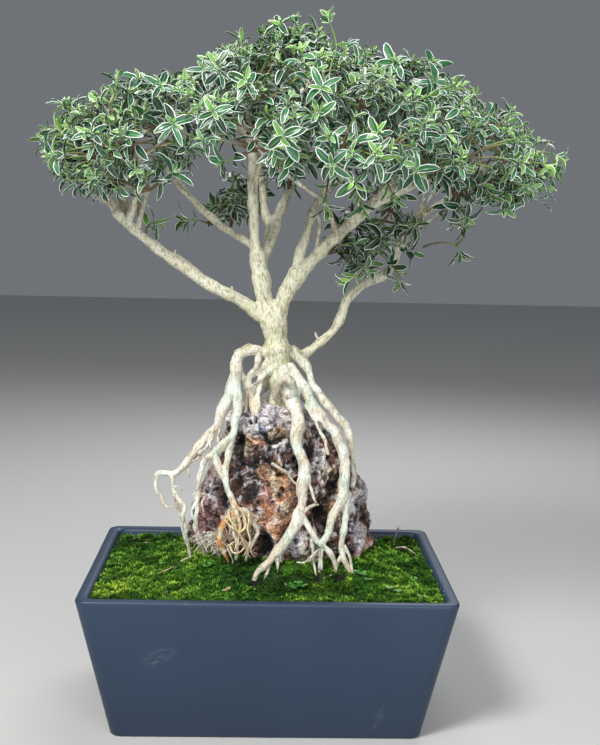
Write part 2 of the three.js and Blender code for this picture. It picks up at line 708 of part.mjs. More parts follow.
// Shoots fan out from the end of a twig; each is turned until it is clear of what is near
function makeSpray(number, place, along, shoots, obstacles) {
  const seat = place.clone().addScaledVector(along, touchGap);
  const outward = place.clone().sub(crownMiddle).normalize();
  const aim = along.clone().add(outward).addScaledVector(up, shootLift).normalize();
  const side = new THREE.Vector3().crossVectors(aim, up).normalize();
  const other = new THREE.Vector3().crossVectors(side, aim);
  const pieces = [];
  const tips = [];
  let fork = seat;
  const isClear = (solid) => obstacles.every((near) => solid.minGap(near, 1) > leafClearance);
  for (let shoot = 0; shoot < shoots; shoot += 1) {
    const seed = number * 19 + shoot * 5;
    for (let trial = 0; trial < shootTrials; trial += 1) {
      const turn = number * goldenAngle + shoot * Math.PI * 2 / shoots + trial * trialTurn;
      const lean = shootLean + shootLeanVaries * (2 * draw(seed + 3) - 1);
      const direction = aim.clone().multiplyScalar(Math.cos(lean))
        .addScaledVector(side, Math.cos(turn) * Math.sin(lean))
        .addScaledVector(other, Math.sin(turn) * Math.sin(lean));
      const size = 1 - trial * trialShrink;
      const length = size * (shootLength + shootLengthVaries * (2 * draw(seed + 11) - 1));
      const tip = fork.clone().addScaledVector(direction, length);
      if (tips.some((earlier) => earlier.distanceTo(tip) < starSpacing)) continue;
      const first = tips.length === 0;
      if (first && direction.dot(along) < 0.25) continue;
      const twist = turn * 1.7;
      const above = fork.clone().addScaledVector(direction, 2);
      if (!isClear(leafyShoot(above, tip, direction, shootRadius, twist, seed, size))) continue;
      pieces.push(first
        ? leafyShoot(fork, tip, along, firstFootRadius, twist, seed, size)
        : leafyShoot(fork, tip, direction, laterFootRadius, twist, seed, size));
      if (first) fork = seat.clone().addScaledVector(direction, forkRise);
      tips.push(tip);
      break;
    }
  }
  return mainBody(wasm.Manifold.union(pieces));
}

const limbStems = Object.values(limbRoutes).map((route) => {
  const thick = Math.max(...route.map((point) => point[3]));
  const sides = thick > thickLimb ? 7 : thick > thinLimb ? 5 : 4;
  return stem(route, sides, Math.max(3, Math.round(routeLength(route) / limbStep)));
});
const twigs = sprayPlaces.map(([x, y, z]) => {
  const middle = new THREE.Vector3(x, y, z);
  const inward = crownMiddle.clone().sub(middle).setLength(sprayReach);
  return twigRoute(middle.add(inward));
});
const wood = mainBody(wasm.Manifold.union([
  stem(trunkRoute, 12, 8),
  ...limbStems,
  ...twigs.map((route) => stem(route, 3, routeLength(route) > 40 ? 2 : 1)),
  ...Object.values(rootRoutes).map((route) => rootStem(route, 0)),
]));

const rootRoom = wasm.Manifold.union([
  stem(grown(trunkRoute, rootClearance), 12, 8),
  ...Object.values(rootRoutes).map((route) => rootStem(route, rootClearance)),
]);
const rockRoom = makeRockSolid(rootClearance).add(rootRoom);
const rock = mainBody(makeRockSolid(0).subtract(rootRoom));
const moss = mainBody(makeMossSolid().subtract(rockRoom));
const soil = mainBody(makeSoilSolid().subtract(rockRoom));

const bonsai = new THREE.Group();
bonsai.add(
  named('pot', makePot(), finishes.pot),
  named('drain_screen_left', makeScreen(-drainPlace), finishes.screen),
  named('drain_screen_right', makeScreen(drainPlace), finishes.screen),
  named('soil', geometryOf(soil), finishes.soil),
  named('moss', geometryOf(moss), finishes.moss),
  named('rock', geometryOf(rock), finishes.rock),
  named('wood', geometryOf(wood), finishes.wood),
);

const placed = [];
sprayPlaces.forEach(([, , , shoots], number) => {
  const end = routeEnd(twigs[number]);
  const nearby = placed.filter((spray) => spray.place.distanceTo(end.point) < 110)
    .map((spray) => spray.solid);
  const solid = makeSpray(number, end.point, end.along, shoots, [wood, ...nearby]);
  placed.push({ place: end.point, solid });
  const name = `spray_${String(number + 1).padStart(2, '0')}`;
  bonsai.add(named(name, geometryOf(solid), finishes.leaf));
});

export default bonsai;
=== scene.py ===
# %% [markdown]
# # A serissa bonsai with its roots over a rock
#
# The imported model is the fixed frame: a pot with two drain screens, soil, moss, a rock, one
# grown piece of wood and fifty-two leafy sprays, all at their real size. This lesson dresses
# it. Every piece made here is a surface worked out with numpy, in the same place as the solid
# it stands for. Lengths are in millimetres, as a maker thinks of them, and are turned into
# Blender's metres only where a mesh, a lamp or the camera is made.

# %% Load the frame
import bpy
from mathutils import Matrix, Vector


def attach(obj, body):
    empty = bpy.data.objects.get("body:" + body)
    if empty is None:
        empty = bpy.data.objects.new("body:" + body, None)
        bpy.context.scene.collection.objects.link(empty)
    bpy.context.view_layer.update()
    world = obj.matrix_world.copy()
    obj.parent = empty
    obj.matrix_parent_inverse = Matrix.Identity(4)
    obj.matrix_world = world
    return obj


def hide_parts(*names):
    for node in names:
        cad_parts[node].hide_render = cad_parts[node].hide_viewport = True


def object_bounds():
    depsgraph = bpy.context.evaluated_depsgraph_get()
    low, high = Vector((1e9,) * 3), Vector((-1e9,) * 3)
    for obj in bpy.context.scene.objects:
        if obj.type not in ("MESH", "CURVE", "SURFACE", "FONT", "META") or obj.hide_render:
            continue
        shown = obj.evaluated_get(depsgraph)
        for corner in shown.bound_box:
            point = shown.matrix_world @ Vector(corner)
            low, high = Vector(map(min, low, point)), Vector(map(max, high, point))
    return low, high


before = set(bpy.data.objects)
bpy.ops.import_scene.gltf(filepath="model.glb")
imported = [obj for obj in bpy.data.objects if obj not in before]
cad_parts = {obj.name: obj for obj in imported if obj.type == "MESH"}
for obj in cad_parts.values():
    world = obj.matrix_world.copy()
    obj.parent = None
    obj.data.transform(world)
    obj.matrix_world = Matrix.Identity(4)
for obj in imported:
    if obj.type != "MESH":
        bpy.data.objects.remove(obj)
model_box = [list(corner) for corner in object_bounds()]

import bpy
import numpy as np
from mathutils import Matrix

MM = 0.001  # one millimetre in metres
UP = np.array([0.0, 0.0, 1.0])
print("solids in the frame:", len(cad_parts))

# %% [markdown]
# ## Making a mesh from arrays
#
# A mesh needs three lists: the points, the corners of its faces, and where each face
# starts among those corners. Python loops over thousands of points are slow, so the lists
# stay numpy arrays and go into Blender in one call each with `foreach_set`. Values that a
# material reads later, such as how old a leaf is, ride along as point attributes.

# %% A mesh from arrays of points and faces
def add_mesh(name, points, faces, materials, marks=None, uv=None, face_material=None):
    """Makes an object at the origin. points are in millimetres; faces is a list of arrays,
    each with one face a row; marks are named point values; uv has one pair a point."""
    mesh = bpy.data.meshes.new(name)
    corners = np.concatenate([part.ravel() for part in faces]).astype(np.int32)
    sizes = np.concatenate([np.full(len(part), part.shape[1]) for part in faces])
    starts = np.concatenate([[0], np.cumsum(sizes)[:-1]]).astype(np.int32)
    mesh.vertices.add(len(points))
    mesh.loops.add(len(corners))
    mesh.polygons.add(len(sizes))
    mesh.vertices.foreach_set("co", (np.asarray(points) * MM).astype(np.float32).ravel())
    mesh.loops.foreach_set("vertex_index", corners)
    mesh.polygons.foreach_set("loop_start", starts)
    mesh.polygons.foreach_set("use_smooth", np.ones(len(sizes), bool))
    if face_material is not None:
        mesh.polygons.foreach_set("material_index", face_material.astype(np.int32))
    if uv is not None:
        layer = mesh.uv_layers.new(name="UVMap")
        layer.uv.foreach_set("vector", uv[corners].astype(np.float32).ravel())
    for mark, values in (marks or {}).items():
        made = mesh.attributes.new(mark, "FLOAT", "POINT")
        made.data.foreach_set("value", np.asarray(values, np.float32))
    mesh.update(calc_edges=True)
    mesh.validate()
    for material in materials:
        mesh.materials.append(material)
    piece = bpy.data.objects.new(name, mesh)
    bpy.context.scene.collection.objects.link(piece)
    return piece


def triangles_in(piece):
    """How many triangles a piece is drawn with."""
    piece.data.calc_loop_triangles()
    return len(piece.data.loop_triangles)


def values_of(items, name, count, kind):
    """One value of all the points, corners or faces of a mesh, as a flat array."""
    values = np.empty(count, kind)
    items.foreach_get(name, values)
    return values

# %% Faces between the rows of a grid
def grid_faces(rows, columns, wrap):
    """Quads between neighbouring rows and columns. With wrap, the last column meets the first."""
    across = columns if wrap else columns - 1
    row, column = np.meshgrid(np.arange(rows - 1), np.arange(across), indexing="ij")
    here = row * columns + column
    beside = row * columns + (column + 1) % columns
    return np.stack([here, beside, beside + columns, here + columns], axis=-1).reshape(-1, 4)


def cap_faces(ring, middle, flip=False):
    """A fan from a middle point to each edge of a closed ring of points."""
    after = np.roll(ring, -1)
    fan = np.stack([np.full(len(ring), middle), ring, after], axis=-1)
    return fan[:, ::-1] if flip else fan

# %% [markdown]
# ## Roughness from layered noise
#
# Bark, rock and moss are rough at several scales at once. Value noise gives one scale: a
# random height at each corner of a lattice, blended smoothly between them. Adding copies
# with a finer lattice and less height gives the rest. Pits come from the distance to the
# nearest of many scattered points. Both are worked out for all points at once.

# %% Value noise and scattered cells
AXIS_PRIMES = np.array([73856093, 19349663, 83492791])
SEED_PRIME, STIR_PRIME = 2654435761, 1274126177
LOW_31_BITS, LOW_16_BITS = 0x7FFFFFFF, 0xFFFF
SPOT_SEEDS = (11, 23, 37)


def lattice_draw(cell, seed):
    """An even draw from 0 to 1 for each whole-number cell: its three numbers times a large
    prime each, mixed by exclusive or with the seed, then stirred twice by a shift."""
    mixed = np.bitwise_xor.reduce(cell * AXIS_PRIMES, axis=-1)
    mixed = (mixed ^ (seed * SEED_PRIME)) & LOW_31_BITS
    mixed = (mixed ^ (mixed >> 13)) * STIR_PRIME & LOW_31_BITS
    mixed = (mixed ^ (mixed >> 16)) & LOW_16_BITS
    return mixed / LOW_16_BITS


def noise(points, size, seed=0):
    """Value noise from -1 to 1 with features of a size in millimetres: corner draws blended
    by the smooth step 3t^2 - 2t^3 along each axis."""
    scaled = np.asarray(points, float) / size
    cell = np.floor(scaled).astype(np.int64)
    part = scaled - cell
    part = part * part * (3 - 2 * part)
    total = np.zeros(scaled.shape[:-1])
    for corner in np.ndindex(2, 2, 2):
        weight = np.prod(np.where(corner, part, 1 - part), axis=-1)
        total += weight * lattice_draw(cell + np.array(corner), seed)
    return total * 2 - 1


def rough(points, size, layers, seed=0, fade=0.5):
    """Layers of noise, each half the size of the last and fade times as high."""
    total = sum(fade ** k * noise(points, size / 2 ** k, seed + k) for k in range(layers))
    return total / sum(fade ** k for k in range(layers))


def nearest_cell(points, size, seed=0):
    """Distance to the nearest scattered point, one in each cell, as a share of the cell size."""
    scaled = np.asarray(points, float) / size
    cell = np.floor(scaled).astype(np.int64)
    best = np.full(scaled.shape[:-1], np.inf)
    for step in np.ndindex(3, 3, 3):
        other = cell + np.array(step) - 1
        spot = other + np.stack([lattice_draw(other, seed + k) for k in SPOT_SEEDS], axis=-1)
        best = np.minimum(best, np.linalg.norm(spot - scaled, axis=-1))
    return best


def unit(vectors):
    """Vectors divided by their lengths."""
    return vectors / np.maximum(np.linalg.norm(vectors, axis=-1, keepdims=True), 1e-9)


draws = noise(np.random.default_rng(0).uniform(-50, 50, (4000, 3)), 7)
print("noise from", round(draws.min(), 2), "to", round(draws.max(), 2))

# %% [markdown]
# ## Shader maths as Python sums
#
# A procedural material is a graph of small nodes. Written node by node it is long and hard
# to read, so one class wraps a node's output and lets it be added and multiplied like a
# number. Any node that isn't a sum comes from one method, which sets the node's options
# first and its inputs after.

# %% A class for sockets
class Value:
    """One output of a finish's nodes. Arithmetic on it adds Math nodes."""

    def __init__(self, finish, socket):
        self.finish = finish
        self.socket = socket

    def maths(self, operation, other=None, other_first=False):
        """A Math node on this value alone, or on it and another."""
        pair = (other, self) if other_first else (self, other)
        inputs = {i: value for i, value in enumerate(pair) if value is not None}
        return self.finish.node("ShaderNodeMath", {"operation": operation}, inputs)

    def __add__(self, other):
        return self.maths("ADD", other)

    def __sub__(self, other):
        return self.maths("SUBTRACT", other)

    def __rsub__(self, other):
        return self.maths("SUBTRACT", other, other_first=True)

    def __mul__(self, other):
        return self.maths("MULTIPLY", other)

    __radd__ = __add__
    __rmul__ = __mul__

    def above(self, edge, width):
        """0 below edge and 1 above edge + width, with an even ramp between."""
        return self.finish.node("ShaderNodeMapRange", {"clamp": True}, {0: self, 1: edge, 2: edge + width})

# %% A class for finishes
class Finish:
    """A material, whose nodes are made by node() and end in one Principled shader."""

    def __init__(self, name, **plain):
        self.material = bpy.data.materials.new(name)
        self.material.use_nodes = True
        self.tree = self.material.node_tree
        self.shader = self.tree.nodes["Principled BSDF"]
        for socket, value in plain.items():
            self.shader.inputs[socket.replace("_", " ")].default_value = value

    def node(self, kind, settings=None, inputs=None, output=0):
        """Any other node: its settings first, then a value or a link for each input."""
        made = self.tree.nodes.new(kind)
        for setting, value in (settings or {}).items():
            setattr(made, setting, value)
        for key, value in (inputs or {}).items():
            if isinstance(value, Value):
                self.tree.links.new(value.socket, made.inputs[key])
            else:
                made.inputs[key].default_value = value
        return Value(self, made.outputs[output])

    def place(self, stretch=(1, 1, 1)):
        """Object coordinates in millimetres. Along an axis with a stretch below 1 they count up
        more slowly, so patterns get longer there."""
        spot = self.node("ShaderNodeTexCoord", output="Object")
        sizes = tuple(part / MM for part in stretch)
        return self.node("ShaderNodeMapping", {"vector_type": "POINT"}, {"Vector": spot, "Scale": sizes})

    def axes(self, place=None):
        """The X, Y and Z of a place, as three values."""
        apart = self.node("ShaderNodeSeparateXYZ", None, {0: self.place() if place is None else place})
        return [Value(self, apart.socket.node.outputs[axis]) for axis in "XYZ"]

    def mark(self, name):
        """A point attribute of the mesh."""
        return self.node("ShaderNodeAttribute", {"attribute_name": name}, output="Fac")

    def grain(self, size, detail=2.0, place=None, roughness=0.5):
        """Noise texture from 0 to 1 with features of a size in millimetres."""
        place = self.place() if place is None else place
        inputs = {"Vector": place, "Scale": 1.0 / size, "Detail": detail, "Roughness": roughness}
        return self.node("ShaderNodeTexNoise", None, inputs)

    def cells(self, size, place=None):
        """Distance to the nearest of many scattered points, in cells of a size in millimetres."""
        place = self.place() if place is None else place
        return self.node("ShaderNodeTexVoronoi", {"feature": "F1"}, {"Vector": place, "Scale": 1.0 / size})

    def blend(self, share, first, second):
        """A colour between two others by a share from 0 to 1. On a Mix node, inputs 6 and 7 and
        output 2 are the ones for colours."""
        settings = {"data_type": "RGBA", "clamp_factor": True}
        return self.node("ShaderNodeMix", settings, {0: share, 6: first, 7: second}, output=2)

    def coats(self, tone, *layers):
        """A tone with more colours laid over it, one after the other, each with its share."""
        for share, colour in layers:
            tone = self.blend(share, tone, paint(colour))
        return tone

    def feed(self, **sockets):
        """Links values into the Principled shader's sockets."""
        for socket, value in sockets.items():
            self.tree.links.new(value.socket, self.shader.inputs[socket.replace("_", " ")])

    def bump(self, height, distance, strength=1.0):
        """Small relief: height from 0 to 1 stands for a distance in millimetres."""
        inputs = {"Height": height, "Distance": distance * MM, "Strength": strength}
        self.feed(Normal=self.node("ShaderNodeBump", None, inputs))


def paint(hex_code):
    """A screen colour such as 8fbf2a as linear light, by the curve that screens use."""
    parts = np.array([int(hex_code[i:i + 2], 16) for i in (0, 2, 4)]) / 255
    linear = np.where(parts <= 0.04045, parts / 12.92, ((parts + 0.055) / 1.055) ** 2.4)
    return (*linear.tolist(), 1.0)


print("middle grey is", round(paint("808080")[0], 3), "of full light")

# %% [markdown]
# ## Camera, light and floor
#
# The camera stands where the photographer stood: at the height of the crown's foot, 0.9 m in
# front, tipped down by eight degrees. A soft lamp above the front left does most of the work,
# a weaker and larger one right of the camera lights the wood under the crown, and one behind
# the tree draws its edge.

# %% Camera
FOCAL_SHARE = 1151.5 / 745  # focal length over the picture's height
SENSOR_HEIGHT = 36
CAMERA_PLACE = np.array([-4.7, -894.0, 395.2])
pitch, yaw, roll = np.radians([8.17, 1.72, 1.26])

forward = np.array([np.sin(yaw) * np.cos(pitch), np.cos(yaw) * np.cos(pitch), -np.sin(pitch)])
level = np.array([np.cos(yaw), -np.sin(yaw), 0.0])
upright = np.cross(level, forward)
right = np.cos(roll) * level + np.sin(roll) * upright
top = -np.sin(roll) * level + np.cos(roll) * upright

lens = bpy.data.cameras.new("camera")
lens.sensor_fit = "VERTICAL"
lens.sensor_height = SENSOR_HEIGHT
lens.lens = SENSOR_HEIGHT * FOCAL_SHARE
lens.clip_end = 50
camera = bpy.data.objects.new("camera", lens)
axes = np.eye(4)
axes[:3, 0], axes[:3, 1], axes[:3, 2], axes[:3, 3] = right, top, -forward, CAMERA_PLACE * MM
camera.matrix_world = Matrix(axes.tolist())
bpy.context.scene.collection.objects.link(camera)
bpy.context.scene.camera = camera
print("lens", round(lens.lens, 2), "mm")

# %% Lamps and sky
def add_lamp(name, place, aim, size, power, colour=(1, 1, 1)):
    """A square lamp. Its own -Z points from its place to its aim, both in millimetres, its size
    is in metres and its power in watts."""
    lamp = bpy.data.lights.new(name, "AREA")
    lamp.shape = "SQUARE"
    lamp.size = size
    lamp.energy = power
    lamp.color = colour
    held = bpy.data.objects.new(name, lamp)
    away = unit(np.array(place, float) - np.array(aim, float))
    across = unit(np.cross(UP, away))
    turned = np.eye(4)
    turned[:3, 0], turned[:3, 1], turned[:3, 2] = across, np.cross(away, across), away
    turned[:3, 3] = np.array(place) * MM
    held.matrix_world = Matrix(turned.tolist())
    bpy.context.scene.collection.objects.link(held)


add_lamp("key lamp", (-600, -900, 1250), (10, 0, 300), size=0.42, power=24, colour=(1.0, 0.99, 0.97))
add_lamp("fill lamp", (350, -1100, 480), (10, 0, 330), size=0.8, power=7, colour=(0.95, 0.97, 1.0))
add_lamp("back lamp", (250, 900, 1100), (0, 0, 350), size=0.8, power=9)

SKY_COLOUR, SKY_STRENGTH = (0.80, 0.85, 0.92, 1), 0.2
sky = bpy.data.worlds.new("sky")
sky.use_nodes = True
background = sky.node_tree.nodes["Background"]
background.inputs["Color"].default_value = SKY_COLOUR
background.inputs["Strength"].default_value = SKY_STRENGTH
bpy.context.scene.world = sky
bpy.context.scene.view_settings.view_transform = "Standard"
print("lamps", len(bpy.data.lights), "with", sum(lamp.energy for lamp in bpy.data.lights), "W in all")

# %% Floor
FLOOR_HALF = 4000
floor_finish = Finish("pale floor", Base_Color=paint("c4c4c2"), Roughness=0.8)
floor_points = FLOOR_HALF * np.array([[-1, -1, 0], [1, -1, 0], [1, 1, 0], [-1, 1, 0]])
floor = add_mesh("floor", floor_points, [np.array([[0, 1, 2, 3]])], [floor_finish.material])
print("floor", 2 * FLOOR_HALF * MM, "m wide")

# %% [markdown]
# ## The pot
#
# A tapered rectangular pot, slip-cast with a matte slate-blue glaze. Its wall is a profile
# of heights and insets carried round a rectangle with round corners. Because the outline
# is the same function at every height, the wall, the rolled lip and the inside are one
# grid. The floor is two plates, each with a drain hole, spanned from circle to outline.

# %% The pot's sizes and its outline
POT_WIDTH, POT_DEPTH, POT_HEIGHT = 280, 200, 113
POT_INSET, POT_WALL, POT_FLOOR, POT_CORNER = 23, 9, 9, 9
DRAIN_RADIUS, DRAIN_PLACE = 7, 62
SOIL_TOP = 103
CORNER_STEPS, SIDE_STEPS = 9, 24


def rounded_outline(half_x, half_y, corner):
    """Points round a rectangle with round corners: a quarter circle at each corner, and
    even steps along each side, as offsets from the middle."""
    points = []
    for quarter, (sx, sy) in enumerate([(1, 1), (-1, 1), (-1, -1), (1, -1)]):
        turn = (quarter + np.linspace(0, 1, CORNER_STEPS + 1)) * np.pi / 2
        middle = np.array([sx * (half_x - corner), sy * (half_y - corner)])
        points.append(middle + corner * np.stack([np.cos(turn), np.sin(turn)], axis=-1))
    ring = []
    for here, after in zip(points, points[1:] + points[:1]):
        share = np.linspace(0, 1, SIDE_STEPS + 1)[1:-1, None]
        ring += [here, here[-1] * (1 - share) + after[0] * share]
    return np.concatenate(ring)


def pot_half(side, z):
    """Half of the pot's outside at a height: its mouth's half less the taper."""
    return side / 2 - POT_INSET * (1 - z / POT_HEIGHT)


print("foot of the pot", 2 * pot_half(POT_WIDTH, 0), "by", 2 * pot_half(POT_DEPTH, 0), "mm")

# %% Wall and lip from one profile
LIP_OUTSIDE, LIP_INSIDE, LIP_STEPS = 2.6, 3.2, 6  # two radii, and points in each arc
CORNER_LOSS = 3  # how much less round the inside is
WOBBLE, WOBBLE_SIZE = 0.22, 55  # a hand-made wall is never quite flat


def lip_arc(start, end, middle, radius):
    """Inset and height along an arc in a section of the lip."""
    turn = np.radians(np.linspace(start, end, LIP_STEPS))
    return [(middle[0] - radius * np.cos(t), middle[1] + radius * np.sin(t)) for t in turn]


profile = [(1.6, 0.0), (0.5, 0.45), (0.0, 1.6)]
profile += [(0.0, z) for z in np.linspace(4, 108, 27)]
profile += lip_arc(0, 90, (LIP_OUTSIDE, POT_HEIGHT - LIP_OUTSIDE), LIP_OUTSIDE)
profile += lip_arc(90, 180, (POT_WALL - LIP_INSIDE, POT_HEIGHT - LIP_INSIDE), LIP_INSIDE)
profile += [(POT_WALL, z) for z in np.linspace(106, POT_FLOOR - 3, 24)]
profile += [(POT_WALL, 3.0), (POT_WALL - 2, 0.0)]
rings = []
for inset, z in profile:
    corner = POT_CORNER - CORNER_LOSS * inset / POT_WALL
    outline = rounded_outline(pot_half(POT_WIDTH, z) - inset, pot_half(POT_DEPTH, z) - inset, corner)
    rings.append(np.column_stack([outline, np.full(len(outline), z)]))
wall = np.stack(rings)
around = wall.shape[1]
outward = unit(wall * np.array([1.0, 1.0, 0.0]))
wall = wall + outward * WOBBLE * noise(wall, WOBBLE_SIZE, 5)[..., None] * (wall[..., 2:] > 1)
wall_faces = grid_faces(len(rings) + 1, around, wrap=True) % (len(rings) * around)
print("pot profile", len(profile), "points, carried round", around)

# %% Floor plates with drain holes
HOLE_STEPS, PLATE_RINGS = 72, 4
PLATE_LAP = 2  # how far a plate runs into the wall


def floor_plate(side):
    """Half of the pot's floor: at each angle round its drain hole, a ray from the hole's rim
    to the edge of the half, at the underside and at the top."""
    turn = np.arange(HOLE_STEPS) / HOLE_STEPS * 2 * np.pi
    way = np.stack([np.cos(turn), np.sin(turn)], axis=-1)
    middle = np.array([side * DRAIN_PLACE, 0.0])
    half_x = pot_half(POT_WIDTH, POT_FLOOR) - POT_WALL + PLATE_LAP
    half_y = pot_half(POT_DEPTH, POT_FLOOR) - POT_WALL + PLATE_LAP
    low, high = (0.0, half_x) if side > 0 else (-half_x, 0.0)
    gap_x = np.where(way[:, 0] > 0, high - middle[0], low - middle[0])
    reach_x = gap_x / np.where(np.abs(way[:, 0]) < 1e-6, 1e-6, way[:, 0])
    reach_y = half_y / np.maximum(np.abs(way[:, 1]), 1e-6)
    edge = middle + way * np.minimum(np.abs(reach_x), reach_y)[:, None]
    hole = middle + way * DRAIN_RADIUS
    return np.stack([np.column_stack([ring, np.full(HOLE_STEPS, float(z))])
                     for ring, z in [(hole, 0), (edge, 0), (edge, POT_FLOOR), (hole, POT_FLOOR)]])


plates = [floor_plate(-1), floor_plate(1)]
plate_points = PLATE_RINGS * HOLE_STEPS
plate_faces = (grid_faces(PLATE_RINGS + 1, HOLE_STEPS, wrap=True) % plate_points)[:, ::-1]
pot_points = np.concatenate([wall.reshape(-1, 3)] + [plate.reshape(-1, 3) for plate in plates])
first_plate = wall.shape[0] * wall.shape[1]
pot_faces = [wall_faces, plate_faces + first_plate, plate_faces + first_plate + plate_points]
print("pot points", len(pot_points))

# %% Slate-blue glaze with a few pale scuffs
glaze = Finish("slate glaze", Roughness=0.5, Specular_IOR_Level=0.4)
mottle = glaze.grain(60, 3)
fleck = glaze.grain(1.4, 2)
pot_height = glaze.axes()[2]
glaze_tone = glaze.coats(
    glaze.blend(mottle, paint("24364b"), paint("2e4058")),
    # the 1a2636 coat darkens the wall towards the foot as painted shade
    (0.3 - 0.3 * pot_height.above(10, 90), "1a2636"), (fleck.above(0.66, 0.1) * 0.25, "56636f"))
FRONT_ONLY = -70
# x, z, half width, half height, slope and fineness of the lines of each patch of scuffs
SCUFFS = [(-79, 69, 15, 9, 0.35, 1.6), (-60, 112, 6, 1.6, 0.0, 2.0), (11, 107, 6, 1.6, 0.1, 2.0),
          (84, 18, 6, 9, 1.2, 1.4)]


def scuff(finish, x, z, width, height, slope, fineness):
    """A patch of fine pale lines on the front: 1 inside an ellipse round (x, z) where a noise
    stretched along a slope is high, fading to 0 at the ellipse's edge."""
    right_left, depth, up_down = finish.axes()
    across, rise = right_left - x, up_down - z
    tilted = rise - across * slope
    inside = 1 - (across * across * (1 / width ** 2) + tilted * tilted * (1 / height ** 2))
    streak = finish.node("ShaderNodeCombineXYZ", None, {0: across * 0.12, 1: tilted * fineness})
    lines = finish.node("ShaderNodeTexNoise", None, {"Vector": streak, "Scale": 1.0, "Detail": 3.0})
    front = 1 - depth.above(FRONT_ONLY, 1.0)
    return inside.above(0.0, 0.8) * lines.above(0.52, 0.16) * front


first_scuff, *more_scuffs = [scuff(glaze, *patch) for patch in SCUFFS]
scuffs = sum(more_scuffs, first_scuff)
glaze_tone = glaze.coats(glaze_tone, (scuffs * 0.4, "8b96a0"))
glaze.feed(Base_Color=glaze_tone, Roughness=0.5 - 0.12 * mottle + 0.2 * scuffs)
glaze.bump(glaze.grain(0.7, 3), 0.05, 0.35)

pot = add_mesh("pot_surface", pot_points, pot_faces, [glaze.material])
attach(pot, "root")
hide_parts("pot")
print("pot triangles", triangles_in(pot))

# %% [markdown]
# ## Soil and drain screens
#
# The soil and the two plastic screens over the drain holes are almost hidden. Their solids
# are already the right shape, so they only get a finish: crumbly dark soil made of cell
# noise, and plain black plastic.

# %% Finishes of the hidden pieces
soil_finish = Finish("dark soil", Roughness=0.95)
soil_finish.feed(Base_Color=soil_finish.blend(soil_finish.grain(4, 4), paint("1d140e"), paint("4a3728")))
soil_finish.bump(soil_finish.cells(3.2), 1.2, 0.8)
screen_finish = Finish("black screen", Base_Color=paint("161616"), Roughness=0.55)

for node_name, finish in [
    ("soil", soil_finish), ("drain_screen_left", screen_finish), ("drain_screen_right", screen_finish),
]:
    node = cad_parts[node_name]
    node.data.materials.clear()
    node.data.materials.append(finish.material)
    print(node_name, "is finished as", finish.material.name)

# %% [markdown]
# ## The wood
#
# Trunk, limbs and roots grew as one piece. Each is a tube along a route of points, given
# as x, y, z and radius, and a smooth curve runs through them. Tubes that merely cross
# would meet in hard creases, so they are joined by a voxel remesh, smoothed a little, and
# the bark's relief is added afterwards, along the grain of the nearest stem.

# %% Trunk and limbs, as x, y, z and radius
TRUNK = [
    (8,-2,236,11.5), (8,-2,251,10.3), (6,-1,269,9.9), (4,0,284,10.3), (2,0,298,9.6), (0,0,310,10),
]

